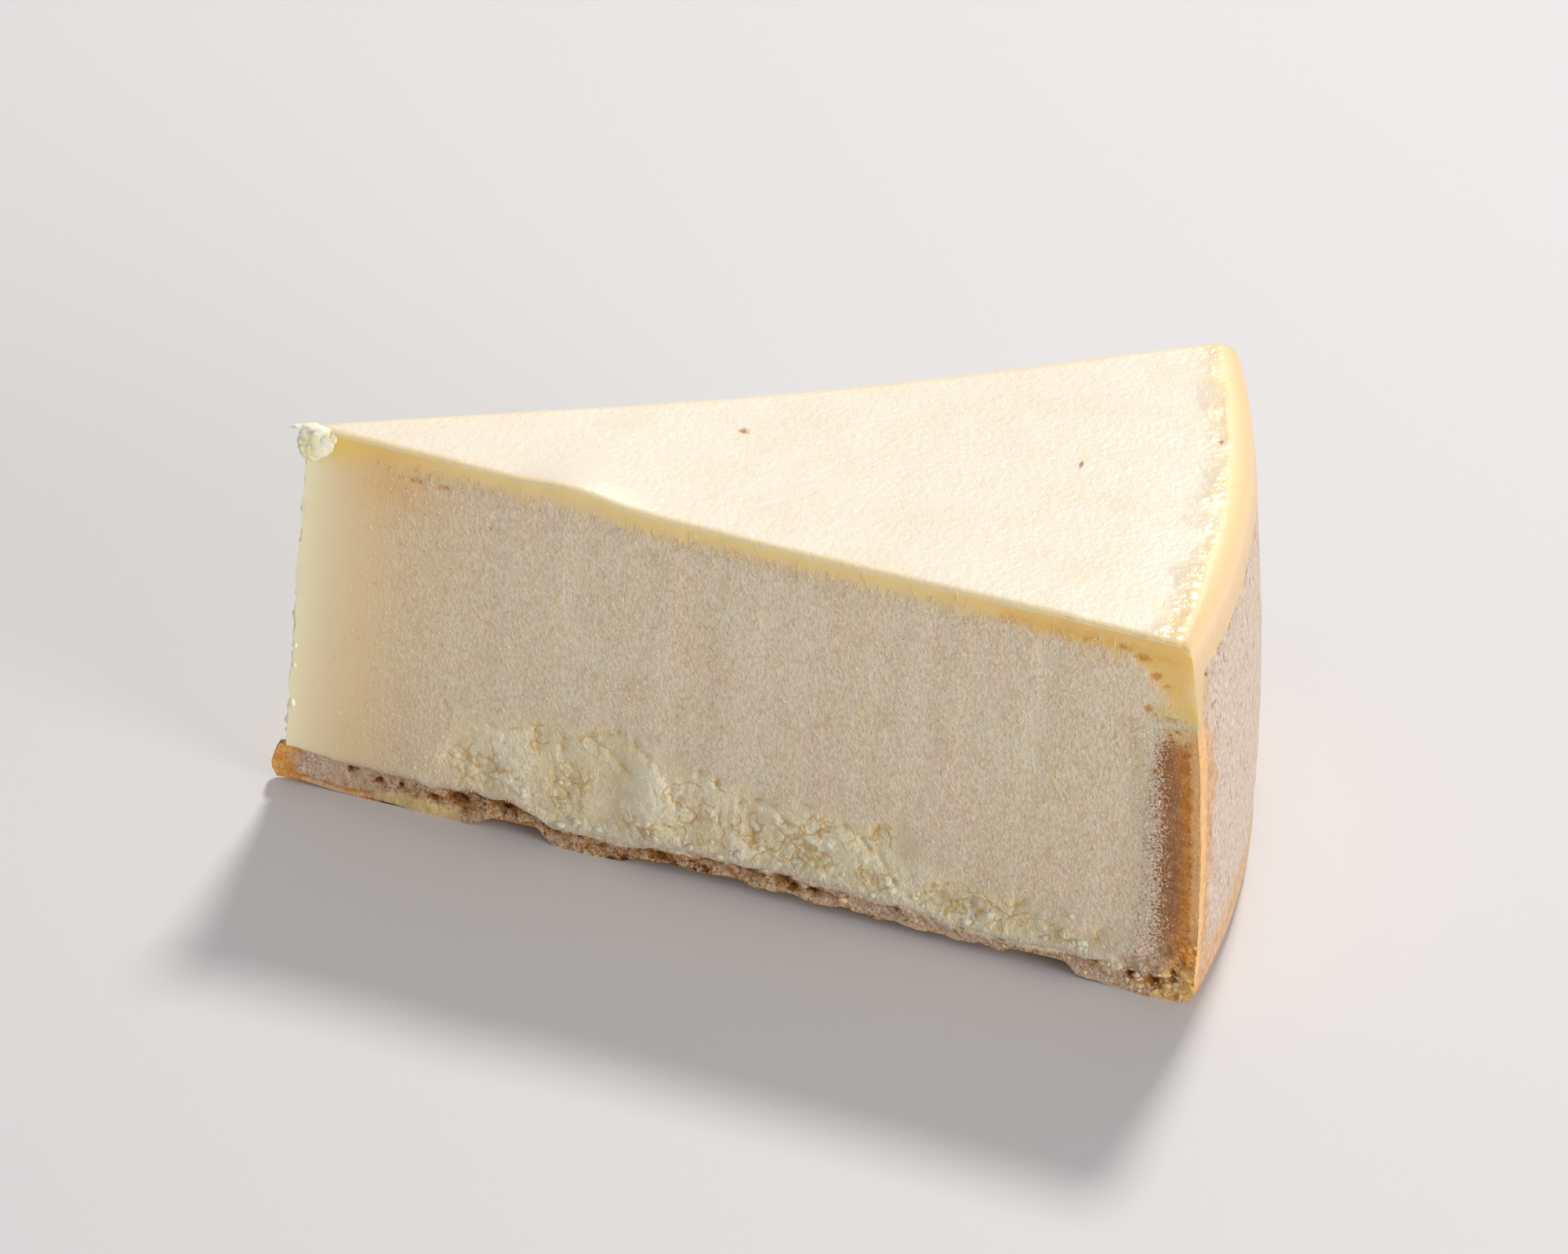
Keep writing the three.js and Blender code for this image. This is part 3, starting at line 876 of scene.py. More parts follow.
# the torn part of a cut face: its depth, and the masks that colour it
def tornFace(along, height, tornLine, seed, cracks, patches):
    start = tornLine[0][0]
    line = lineValue(tornLine, along) + 1.5 * smoothNoise(along / 5, 0 * along, seed + 1)
    wavering = along + 3.5 * smoothNoise(along / 8, height / 3.5, seed + 5)
    wavering = wavering + roughNoise(along / 2, height / 2, seed + 6)
    torn = smoothstep(line - height, -1.5, 2.5) * smoothstep(wavering, start - 3, start + 5)
    torn = torn * smoothstep(along, 2, 14)
    broad = smoothNoise(along / 6.5, height / 6.5, seed)
    wavyX = along + 0.9 * roughNoise(along / 2.5, height / 2.5, seed + 30)
    wavyY = height + 0.9 * roughNoise(along / 2.5, height / 2.5, seed + 31)
    patchy = smoothstep(roughNoise(along / 7, height / 7, seed + 40), -0.1, 0.35)
    nearest, second, own = scatteredCells(wavyX / 3.2, wavyY / 3.2, seed + 50)
    gap = 1 - smoothstep(second - nearest, 0.0, 0.3)
    small, smallSecond, smallOwn = scatteredCells(wavyX / 1.3, wavyY / 1.3, seed + 60)
    smallGap = 1 - smoothstep(smallSecond - small, 0.0, 0.45)
    low = smoothstep(height, 14, 5)
    rough = roughNoise(along / 1.6, height / 1.6, seed + 70)
    hollowing = smoothstep(line - height, -3, 6) * smoothstep(wavering, start - 5, start + 8)
    depth = 0.65 * (hollowing * smoothstep(along, 2, 14)) * (0.55 + 0.75 * broad)
    folds = roughNoise(wavyX / 3.6, wavyY / 5.0, seed + 90, 2)
    curds = np.clip(1 - (small / 0.62) ** 2, 0, 1) * smoothstep(smallOwn, 0.2, 0.6)
    depth = depth + torn * (0.22 * folds + patchy * (0.15 * gap + 0.13 * own))
    depth = depth + torn * ((0.3 + 0.7 * low) * (0.1 * smallGap + 0.17 * rough) - 0.2 * low * curds)
    # crevices are painted ochre: bare unfrosted cream, darker as painted shade
    crevice = 0.55 * torn * patchy * gap * (0.5 + 0.5 * own) + 0.25 * torn * patchy * smallGap * low
    raised = torn * np.clip(0.5 - 0.5 * broad - 0.9 * folds - 0.6 * rough, 0, 1)
    bend = 0.5 * roughNoise(along / 1.3, height / 1.3, seed + 32, 2)
    for deep, width, path in cracks:
        away = distanceToLine(wavyX * 0.6 + along * 0.4 + bend, wavyY * 0.6 + height * 0.4 - bend, path)
        strength = 0.7 + 0.9 * roughNoise(along / 1.1, height / 1.1, seed + 80, 2)
        groove = hump(away / (width * 1.1)) * strength
        # the lower side of a crack is pushed up into a soft lip
        lipPath = [(x - 0.5, y - width - 0.9) for x, y in path]
        lip = hump(distanceToLine(wavyX, wavyY, lipPath) / 0.75) * np.clip(strength, 0, 1)
        depth = depth + 0.5 * deep * groove - 0.15 * deep * lip
        crevice = np.maximum(crevice, hump(away / (width * 1.2)) * np.clip(strength, 0, 1))
        raised = np.maximum(raised, 0.7 * lip)
    near = spotField(along, height, [(x, y, 1.6 + 1.6 * radius) for x, y, radius, ochre in patches])
    net = near * torn * smallGap * smoothstep(roughNoise(along / 1.7, height / 1.7, seed + 95), -0.35, 0.35)
    crevice = np.maximum(crevice, 0.75 * net)
    depth = depth + 0.25 * net
    peach = 0 * along
    for x, y, radius, ochre in patches:
        spot = hump(np.hypot(wavyX - x, wavyY - y) / radius)
        peach = np.maximum(peach, 0.9 * spot)
        crevice = np.maximum(crevice, (0.25 + 0.7 * ochre) * spot)
        depth = depth + 0.35 * spot
    curls = np.clip(1.4 * near, 0, 1) * torn + 0.5 * torn * patchy
    return depth, torn, crevice, peach, raised, curls


def fillingAlong(lattice):
    return lattice / fillingMesh["alongCells"] * (s["cakeRadius"] - s["wallThickness"])


def knifeMarks(along, height):
    return 0.08 * smoothNoise(along / 3, height / 40, 90) * smoothstep(along, 4, 20)


# how far down the cut the baked skin's yellow reaches
def bandWidthAt(along):
    swell = 0.8 * hump((along - 104) / 8)
    return 2.4 + 0.9 * smoothstep(along, 30, 0) + swell + 10.0 * smoothstep(along, 111.0, 122)


# a cut face of the filling: its depth, its masks, and how far in it is from the top and the curved side
def cutRelief(along, height, across):
    isNear = across < 0
    near = tornFace(along, height, tornLineNear, 11, nearCracks, nearPatches)
    far = tornFace(along, height, tornLineFar, 23, farCracks, farPatches)
    depth, torn, crevice, peach, raised, curls = (np.where(isNear, a, b) for a, b in zip(near, far))
    under = topHeight(along, across) - height
    fromSide = sliceLength(across, np.minimum(height, s["height"])) - along
    bandEdge = under + 0.9 * roughNoise(along / 3.2, height / 4.5, 71)
    bandEdge = bandEdge + 0.5 * roughNoise(along / 0.9, height / 2.5, 72)
    bandEdge = bandEdge + 1.6 * roughNoise(along / 1.8, height / 1.8, 73) * smoothstep(fromSide, 18, 12)
    bandWidth = bandWidthAt(along)
    pits = 0.2 * spotField(along, height, bandPits) * isNear
    # the cut runs flush into the crust below and behind
    flush = smoothstep(height - baseTop(along, across), -0.2, 1.6) * smoothstep(fromSide + height, 16.5, 21)
    torn = torn * flush
    soft = 1 + 1.1 * smoothstep(fromSide, 18, 10)
    frost = smoothstep(bandEdge, bandWidth - 0.8 - 2.5 * (soft - 1), bandWidth + 1.5 * soft)
    frost = smoothstep(along, 5, 19) * frost * (1 - 0.45 * torn)
    band = 1 - smoothstep(bandEdge, bandWidth - 2.2 * soft, bandWidth + 2.0 * soft)
    overWall = hump((along - 119.8) / 4.0, (height - 44.2) / 2.3) * isNear
    masks = dict(
        torn=torn * (1 - 0.5 * smoothstep(along, 38, 22)),
        crevice=crevice,
        peach=peach,
        raised=raised,
        curls=curls * flush,
        frost=frost,
        band=np.maximum(band, 0.9 * overWall),
    )
    return depth * flush + knifeMarks(along, height) + pits, masks, under, fromSide


# points of the two cut faces as they are after their relief
def onCutFace(along, height, across):
    depth = cutRelief(along, height, across)[0]
    points = pointAt(along, across, height)
    pressIn(points, across, depth, depth)
    return points


def makeFilling():
    f = fillingMesh
    backCells = f["filletCells"] + f["wallCells"] + f["bandCells"] + f["rimCells"]
    cells = [f["alongCells"], f["acrossCells"], backCells]
    lines = acrossLines(f["acrossCells"], f["acrossPacking"])
    # the cuts' torn feet and the top by the rim are made finer: from how far along, and up to what share
    (nearFrom, nearUp), (farFrom, farUp) = f["fineNear"], f["fineFar"]
    zones = [
        (lambda i, j, k: (j < 0.5) & (fillingAlong(i) > nearFrom) & (k < backCells * nearUp), 1),
        (lambda i, j, k: (j > cells[1] - 0.5) & (fillingAlong(i) > farFrom) & (k < backCells * farUp), 1),
        (lambda i, j, k: (k > backCells - 0.5) & (fillingAlong(i) > f["fineBack"]), 1),
    ]
    mesh, (i, j, k) = latticeMesh("fillingBaked", cells, zones)
    share = i / f["alongCells"]
    across = np.interp(j, range(len(lines)), lines)

    overlap = -f["backOverlap"]
    filletAlong, filletHeight = filletPoint(across, np.clip(k / f["filletCells"], 0, 1), overlap)
    wallStep = (k - f["filletCells"]) / (f["wallCells"] - 1)
    wallAlong, wallHeight = wallPoint(across, np.clip(wallStep, 0, 1), overlap)
    ledge = wallTop(across) + overlap
    rim = topHeight(sliceLength(across, s["height"] + 0 * across), across)
    bandStep = np.clip((k - f["filletCells"] - f["wallCells"]) / f["bandCells"], 0, 1)
    rounding = mix(f["rimRoundingNear"], s["rimRounding"], smoothstep(across, -1, -0.4))
    bandHeight = mix(ledge, rim - rounding, bandStep)
    turn = np.clip((k - backCells + f["rimCells"]) / f["rimCells"], 0, 1) * np.pi / 2
    rimHeight = rim - rounding * (1 - np.sin(turn))
    rimAlong = sliceLength(across, rimHeight) - rounding * (1 - np.cos(turn))

    onFillet = k <= f["filletCells"]
    onWall = ~onFillet & (k < f["filletCells"] + f["wallCells"])
    onBand = ~onFillet & ~onWall & (k <= backCells - f["rimCells"])
    wallHeight = wallHeight - f["ledgeDrop"] * smoothstep(wallStep, 0.7, 1.0)
    backHeight = np.select([onFillet, onWall, onBand], [filletHeight, wallHeight, bandHeight], rimHeight)
    backAlong = np.select([onFillet, onWall, onBand],
                          [filletAlong, wallAlong, sliceLength(across, bandHeight)], rimAlong)

    lowAlong, lowHeight = filletPoint(across, 0, overlap)
    highAlong = sliceLength(across, rim) - rounding
    bottomAlong, topAlong = lowAlong * share, highAlong * share
    bottom = baseTop(bottomAlong, across) + overlap
    top = topHeight(topAlong, across)
    rise = (k / backCells) ** f["lowPacking"]
    pull = share ** 10
    along = mix(bottomAlong, topAlong, rise) + pull * (backAlong - mix(lowAlong, highAlong, rise))
    highHeight = topHeight(highAlong, across)
    height = mix(bottom, top, rise) + share * (backHeight - mix(lowHeight, highHeight, rise))

    depth, masks, under, fromRim = cutRelief(along, height, across)
    isNear = across < 0
    points = pointAt(along, across, height)
    topSide = k > backCells - 0.01
    fromCut = (1 - np.abs(across)) * s["halfAngle"] * along
    edge = np.clip(1 - fromCut / f["edgeRounding"], 0, 1)
    edgeDrop = f["edgeRounding"] * 0.7 * (1 - np.sqrt(np.clip(1 - edge ** 2, 0, 1)))
    points[:, 2] -= edgeDrop * np.clip(1 - under / 4, 0, 1)
    nearTop = np.clip(1 - under / 12, 0, 1)
    bump = f["edgeBump"] * hump((along - 37) / 6) * nearTop
    points[:, 2] += bump * hump(fromCut / 5) * isNear
    pressIn(points, across, depth, depth)

    tip = tipShare(along, 3)
    nubs = 1 + smoothNoise(height / 4, across, 31) + 0.8 * roughNoise(height / 1.3, across * 2, 33)
    points[:, 0] += f["tipNubs"] * tip * nubs
    around = across * s["halfAngle"] * s["cakeRadius"]
    # glossy ripples where the skin swelled against the tin's edge
    rippleZone = hump((fromRim - 3.2) / 2.6) * topSide
    points[:, 2] += f["rimRipple"] * 1.6 * rippleZone * roughNoise(around / 4, fromRim / 2.2, 62, 3)
    points[:, 2] += f["topWaves"] * topSide * roughNoise(points[:, 0] / 14, points[:, 1] / 14, 61)

    aboveBase = height - baseTop(along, across)
    tipTan = hump((along - 10.0) / 8, (under - 2.5) / 5.6)
    goldLine = hump(distanceToLine(along, height, cornerGold) / 1.5)
    warm = 0.9 * hump((along - 9) / 8, (under - 5) / 5) + 0.25 * hump((along - 12) / 12)
    brownPits = [(x, y, 1.5 * wide, 1.4 * tall) for x, y, wide, tall in bandPits]
    wallEdge = smoothstep(fromRim, 11.5, 8.3) * (1 - smoothstep(height, 34, 44)) * smoothstep(height, 3, 9)
    aboveWall = height - wallTop(across)
    wallHaze = hump((aboveWall - 0.6) / 1.8)
    wallHaze = wallHaze * smoothstep(fromRim, 10.0, 6.0) * smoothstep(fromRim, 3.4, 5.6)
    wallLine = hump((aboveWall + 0.1 * fromRim - 0.5) / 0.7)
    wallLine = wallLine * smoothstep(fromRim, 6.5, 4.5) * smoothstep(fromRim, 0.9, 2.0)
    wallSeam = smoothstep(aboveWall, 1.8, -0.2) * smoothstep(fromRim, 7.0, 5.0) * (height > 30)
    edgeStrip = 0.7 * smoothstep(fromRim, 2.6, 0.2) * smoothstep(under, 0.5, 8.0)
    attributes = dict(
        masks,
        # painted glow, fading away from the thin tip
        tipGlow=np.exp(-(np.clip(along, 0, None) / 7.5) ** 1.7) * smoothstep(under, 0.2, 6),
        fringe=np.maximum.reduce([0.35 * wallEdge, 0.7 * wallHaze, 0.6 * wallSeam]),
        wallLine=0.6 * wallLine,
        tipGold=0.7 * hump((along - 4.5) / 4.5, (under - 1.5) / 3.6),
        warm=warm,
        warmBand=np.maximum(0.9 * tipTan, 0.8 * smoothstep(along, 80, 105)),
        gold=0.65 * goldLine * isNear,
        brown=0.85 * spotField(along, height, brownPits) * isNear,
        dust=np.maximum(0.75 * smoothstep(aboveBase, 1.4, 0.0),
                        0.9 * spotField(along, height, nearCrumbs) * isNear),
        corner=smoothstep(fromRim, 13.0, 5.0),
        edgeStrip=edgeStrip * smoothstep(aboveWall, -0.5, 5.0),
        rimZone=np.exp(-(np.clip(fromRim, 0, None) / 5.5) ** 1.5),
        outerRim=0.9 * smoothstep(fromRim, 2.6, 0.2),
        sideZone=np.where(topSide, 0, smoothstep(under, 1.0, 9.0)),
        beads=hump((fromRim - 4.0) / 3.0) * topSide,
        # the cut edges of the top: the skin's own yellow and painted light on the rounding
        cutEdge=hump(fromCut / 0.8) * topSide * 0.65,
        speck=0.9 * spotField(points[:, 0], points[:, 1], topSpecks) * topSide,
    )
    lowI, lowJ, lowK = faceLows(mesh, (i, j, k))
    isTop = lowK > backCells - 0.01
    isSide = (lowI > f["alongCells"] - 0.01) & (lowK > f["filletCells"] + f["wallCells"] - 0.01)
    isCut = np.where(isTop | isSide, 0, 1)
    piece = finishPiece(mesh, points, [skinMaterial, cutMaterial], isCut, attributes)
    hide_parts("filling")
    return piece


filling = makeFilling()
print("filling made:", len(filling.data.polygons), "faces")


# ---- the crust

crustMesh = dict(
    baseCells=204,
    heelCells=12,
    wallCells=76,
    acrossCells=60,
    acrossPacking=1.3,
    depthCells=6,
    tipProud=1.5,
    cutReach=0.05,
    chipReach=4.5,
    edgeCrumbs=0.6,
    dimpleDepth=0.35,
    wrinkleDepth=0.16,
    sidePitDepth=0.5,
    sideHalfArc=34.8,
)

# hollows in the browned side: distance round from the slice's middle, height, half width, half height
sidePits = [
    (-28.0, 41.7, 0.6, 0.45), (-32.6, 44.4, 0.6, 0.4), (-27.3, 38.1, 0.4, 0.7), (-29.6, 47.4, 0.7, 0.4),
    (-27.3, 46.9, 0.5, 0.5), (-24.2, 47.8, 0.8, 0.5), (-25.0, 44.2, 0.4, 0.7), (-31.4, 41.0, 0.4, 0.4),
    (-29.8, 36.6, 0.3, 0.8), (-22.0, 45.2, 0.4, 0.9), (-13.0, 42.4, 0.3, 1.1), (-10.8, 38.4, 0.3, 1.0),
    (-31.0, 24.4, 0.5, 0.5), (-21.6, 32.0, 0.3, 0.9), (-18.6, 47.0, 0.7, 0.4), (-15.2, 48.0, 0.9, 0.4),
    (-6.2, 47.4, 0.9, 0.5), (-2.0, 40.4, 0.4, 0.8), (3.4, 47.2, 0.5, 0.6), (8.8, 42.0, 0.4, 1.0),
    (12.6, 48.0, 0.8, 0.4), (17.4, 38.8, 0.4, 0.8), (22.0, 46.4, 0.5, 0.6), (26.8, 41.2, 0.4, 1.1),
    (30.6, 47.0, 0.6, 0.5), (-28.8, 18.0, 0.4, 0.7), (-13.0, 22.0, 0.5, 0.6), (6.4, 15.6, 0.4, 0.7),
    (20.2, 24.8, 0.5, 0.6), (-20.6, 9.4, 0.6, 0.4), (14.8, 8.2, 0.6, 0.5),
]

# filling that hangs over the near cut of the crust: distance, height, half width, half height
creamSpots = [(115.4, 3.9, 3.2, 1.7), (108.5, 4.4, 1.6, 1.0)]


# the crumbling of a cut through the crust, and where it is darkest
def crustRelief(along, height, fromSide, isNear):
    crumble = 0.25 * (1 + smoothNoise(along / 4, height / 4, 41)) * smoothstep(along, 2, 14)
    nearest, _, own = scatteredCells(along / 1.4, height / 1.4, 43)
    lumps = 0.5 * smoothstep(nearest, 0.1, 0.6) + 0.25 * own
    fine = roughNoise(along / 0.9, height / 0.9, 44, 2)
    crumbly = smoothstep(along, 3, 20) * (1 - smoothstep(height, 7, 15)) * 0.85 + 0.1
    shiftX = 1.1 * roughNoise(along / 1.6, height / 1.6, 45)
    shiftY = 0.7 * roughNoise(along / 1.6, height / 1.6, 46)
    nearest, _, own = scatteredCells((along + shiftX) / 3.4, (height + shiftY) / 2.2, 47)
    farCrumbs = smoothstep(own, 0.5, 1.0) * (1 - smoothstep(nearest, 0.0, 0.6))
    farCrumbs = farCrumbs * (1 - smoothstep(height, 4.5, 8))
    dark = np.where(isNear, spotField(along + shiftX, height + shiftY, nearCrumbs), farCrumbs)
    smoothLip = 1 - 0.7 * smoothstep(height, 3.0, 1.6)
    depth = crumble + crumbly * (0.5 * lumps + 0.3 * fine) * smoothLip + 1.1 * dark
    # next to the filling the cut runs on as smooth as the filling's own
    meets = smoothstep(fromSide, 6.0, 8.4) * smoothstep(height, 9, 13)
    inCorner = smoothstep(fromSide + height, 11.5, 15.5)
    inCorner = inCorner * smoothstep(fromSide, 17, 12) * smoothstep(height, 4, 6)
    meets = np.maximum(meets, inCorner)
    return mix(depth, knifeMarks(along, height), meets), dark


def makeCrust():
    c = crustMesh
    count = c["baseCells"] + c["heelCells"] + c["wallCells"]
    cells = [count, c["acrossCells"], c["depthCells"]]
    lines = acrossLines(c["acrossCells"], c["acrossPacking"])
    zones = [
        (lambda i, j, k: (j < 0.5), 2),
        (lambda i, j, k: (j > cells[1] - 0.5), 2),
        (lambda i, j, k: (k < 0.01) & (i > c["baseCells"] - 0.5), 1),
    ]
    mesh, (i, j, k) = latticeMesh("crustBaked", cells, zones)
    across = np.interp(j, range(len(lines)), lines)
    inward = k / c["depthCells"]
    baseShare = np.clip(i / c["baseCells"], 0, 1)
    heelShare = np.clip((i - c["baseCells"]) / c["heelCells"], 0, 1)
    wallShare = np.clip((i - c["baseCells"] - c["heelCells"]) / c["wallCells"], 0, 1)
    onBase = i <= c["baseCells"]
    onHeel = ~onBase & (i <= c["baseCells"] + c["heelCells"])

    heel = s["heelRounding"]
    turn = heelShare * np.pi / 2
    heelHeight = heel * (1 - np.cos(turn))
    heelAlong = sliceLength(across, heelHeight) - heel * (1 - np.sin(turn))
    sideHeight = mix(heel, wallTop(across), wallShare)
    floorAlong = (sliceLength(across, 0 * across) - heel) * baseShare
    outAlong = np.select([onBase, onHeel], [floorAlong, heelAlong], sliceLength(across, sideHeight))
    outHeight = np.select([onBase, onHeel], [0 * across, heelHeight], sideHeight)
    slabAlong = filletCentre(across)[0] * baseShare
    filletAlong, filletHeight = filletPoint(across, heelShare, 0)
    wallAlong, wallHeight = wallPoint(across, wallShare, 0)
    inAlong = np.select([onBase, onHeel], [slabAlong, filletAlong], wallAlong)
    wallHeight = wallHeight - fillingMesh["ledgeDrop"] * smoothstep(wallShare, 0.7, 1.0)
    inHeight = np.select([onBase, onHeel], [baseTop(slabAlong, across), filletHeight], wallHeight)
    along = mix(outAlong, inAlong, inward)
    height = mix(outHeight, inHeight, inward)

    # the ragged lower edge, lifted where crumb broke away
    isNear = across < 0
    low = 1 - smoothstep(height, 0, s["baseThickness"])
    fromNear, fromFar = (1 + across) * s["halfAngle"] * along, (1 - across) * s["halfAngle"] * along
    chips = (lineValue(chipsNear, along) * hump(fromNear / c["chipReach"])
             + lineValue(chipsFar, along) * hump(fromFar / c["chipReach"]))
    ragged = nearShare(across, 0.08) + farShare(across, 0.08)
    edgeCrumbs = c["edgeCrumbs"] * (0.4 + roughNoise(along / 2.4, across * 8, 81)) * ragged
    edgeCrumbs = edgeCrumbs * smoothstep(chips, 0.1, 1.0)
    points = pointAt(along, across, height + (chips + edgeCrumbs) * low * (1 - inward) ** 2)
    endBulge = np.sin(np.pi * mix(0.15, 0.85, inward))
    endRagged = 1 - 0.35 * np.abs(roughNoise(height / 1.2, across * 3, 85))
    points[:, 0] -= c["tipProud"] * endBulge * endRagged * tipShare(along, 4)

    # crumbs and hollows on the cut faces
    fromSide = sliceLength(across, height) - along
    depth, dark = crustRelief(along, height, fromSide, isNear)
    belowTop = np.where(onBase, inHeight - height, filletCentre(across)[1] - height)
    depth = depth * smoothstep(belowTop + 8 * (height > 8), -0.2, 1.6)
    pressIn(points, across, depth, depth, c["cutReach"])

    # the curved side: shallow dimples, fine wrinkles and scattered pits
    around = across * s["halfAngle"] * s["cakeRadius"]
    outside = (1 - inward) ** 3 * smoothstep(along, 110, 122) * smoothstep(height, 0.5, 5)
    pitField = spotField(around + 0.7 * roughNoise(around, height / 2, 97),
                         height + 0.7 * roughNoise(around, height, 95), sidePits)
    dimples = 0.5 + 0.5 * roughNoise(around / 6, height / 7, 96)
    wrinkles = 0.5 + 0.5 * roughNoise(around / 1.2, height / 3.5, 98, 2)
    sideDepth = c["dimpleDepth"] * dimples + c["wrinkleDepth"] * wrinkles + c["sidePitDepth"] * pitField
    sideDepth = outside * sideDepth
    angle = across * s["halfAngle"]
    points[:, 0] -= sideDepth * np.cos(angle)
    points[:, 1] -= sideDepth * np.sin(angle)

    onCut = (j < 0.01) | (j > c["acrossCells"] - 0.01)
    wallNess = smoothstep(height, 5, 12)
    wallNoise = roughNoise(height / 3, across, 53)
    # frost covers the inner part of the cut wall and thins out towards the side
    topOfWall = wallTop(across) - height
    thin = 1.2 * smoothstep(topOfWall, 10, 0)
    lowered = smoothstep(height, 1.0, 6.0)
    fringe = smoothstep(fromSide, 3.4 - thin + 0.8 * wallNoise, 8.0 - thin + 0.6 * wallNoise) * lowered
    fringe = fringe * smoothstep(fromSide, 20, 10)
    fringe = np.maximum(fringe, smoothstep(topOfWall, 3.0, 0.3) * smoothstep(fromSide, 3.4, 5.2))
    wedge = 6.5 * hump((along + 0.5) / 2.4) + 1.1 * smoothstep(along, 15, 11)
    lowStripe = smoothstep(height - wedge, 0.5, -0.5) * (along < 18)
    flake = np.exp(-((along - 19.5) / 6.5) ** 4 - ((height - 0.5) / 1.7) ** 4) * isNear
    inFillet = smoothstep(fromSide + height, 12.5, 17)
    inFillet = inFillet * smoothstep(fromSide, 19, 13) * smoothstep(height, 2.5, 5)
    baseFrost = (1 - wallNess) * (1 - lowStripe) * smoothstep(fromSide, 0.8, 6) * smoothstep(along, 0.5, 4.5)
    underHead = smoothstep(topOfWall + 1.2 * roughNoise(height / 2, fromSide, 59), -0.2, 6.0)
    # painted light: the biscuit's orange along the cut's outer edge, bright where light shines through the
    # thin corner
    litCornerOrange = 0.95 * smoothstep(fromSide, 4.2, 2.2) * underHead
    orange = np.maximum.reduce([tipShare(along, 3.0), lowStripe, litCornerOrange])
    drift = 3.0 * roughNoise(around / 11, height / 11, 100)
    sideFrost = smoothstep(height + drift, 1.0, 14.0) * smoothstep(topOfWall, -0.8, 2.2)
    fromEnds = c["sideHalfArc"] * along / s["cakeRadius"] - np.abs(around)
    endNoise = roughNoise(height / 2, around / 2, 99)
    sideFrost = sideFrost * smoothstep(fromEnds + 1.5 * endNoise + drift, 0.8, 7.5)
    corner = 0.7 * smoothstep(fromEnds + 0.9 * endNoise, 2.4, 0.6)
    cluster = roughNoise(along / 4, height / 2.5, 57, 2)
    middle = smoothstep(along, 6, 14) * smoothstep(along, 88, 68)
    speckle = 0.22 + 0.25 * middle + (0.6 + 0.5 * middle) * np.clip(cluster, 0, 1)
    speckle = smoothstep(along, 6, 18) * speckle + 0.7 * dark
    headSpecks = 0.4 * hump((topOfWall - 2.6) / 1.8) * smoothstep(fromSide, 0.8, 3.0)
    creamy = 0.8 * smoothstep(baseTop(along, across) - height, 1.6, 0.0) * smoothstep(along, 30, 44)
    creamy = np.where(isNear, creamy, 0) * smoothstep(fromSide, 9, 13)
    creamy = np.maximum(creamy, 0.9 * spotField(along, height, creamSpots) * isNear)
    ridge = wallNess * np.sqrt(underHead) * smoothstep(fromSide, 2.1, 0.5)
    browned = smoothstep(fromSide, 1.2 + 0.7 * wallNoise, 4.6 + 0.7 * wallNoise)
    chipLine = np.where(isNear, lineValue(chipsNear, along), lineValue(chipsFar, along))
    attributes = dict(
        fringe=onCut * fringe,
        bloom=onCut * (0.9 - 0.2 * middle) * baseFrost * (1 - inFillet),
        sideBloom=np.where(onCut, 0, outside * sideFrost),
        brown=onCut * wallNess * underHead * browned,
        pit=np.where(onCut, np.where(isNear, 0.85, 0.6) * dark, outside * pitField * 0.65),
        # orange biscuit, with painted light along the cut's outer edge
        orange=orange,
        ridge=np.where(onCut, ridge, outside * 1.4 * corner),
        wallHead=onCut * wallNess * (1 - underHead),
        sideHead=np.where(onCut, 0, outside * smoothstep(topOfWall, 7.0, 0.5)),
        mauve=onCut * smoothstep(along, 34, 22) * smoothstep(along, 3, 8),
        speckle=onCut * np.maximum((1 - wallNess) * speckle * (1 - inFillet), headSpecks),
        outer=np.where(onCut, 0, smoothstep(along, 100, 116) * (1 - corner)),
        tipEnd=tipShare(along, 2.6),
        # painted light on the heel's crumb, low in the corner by the side
        heelCrumb=onCut * smoothstep(fromSide, 9, 2) * smoothstep(height, 9, 4),
        lip=onCut * (1 - wallNess) * smoothstep(height - chipLine, 1.3, 0.3) * 0.9,
        flake=onCut * flake,
        cream=onCut * creamy * (1 - wallNess),
    )
    oneMaterial = np.zeros(len(mesh.polygons), int)
    piece = finishPiece(mesh, points, [crumbMaterial], oneMaterial, attributes)
    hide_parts("crust")
    return piece


crust = makeCrust()
print("crust made:", len(crust.data.polygons), "faces")


# ---- frost and crumbs that stand on the cuts

# each kind of frost: how many on each cut, its radius, lean, how far it stands out, and its length
frostKinds = dict(
    needle=dict(near=900, far=700, radius=0.06, lean=0.38, stand=(0.02, 0.22), length=(0.8, 2.4)),
    grain=dict(near=8000, far=5500, radius=0.075, lean=0.6, stand=(0.15, 0.7), length=(0.35, 0.95)),
    wall=dict(near=1500, far=1500, radius=0.075, lean=0.8, stand=(0.3, 0.9), length=(0.3, 0.6)),
)
frostSpread = dict(
    along=(4, 125.5),
    height=(5, 54),
    rootDepth=0.06,
    seed=5,
)


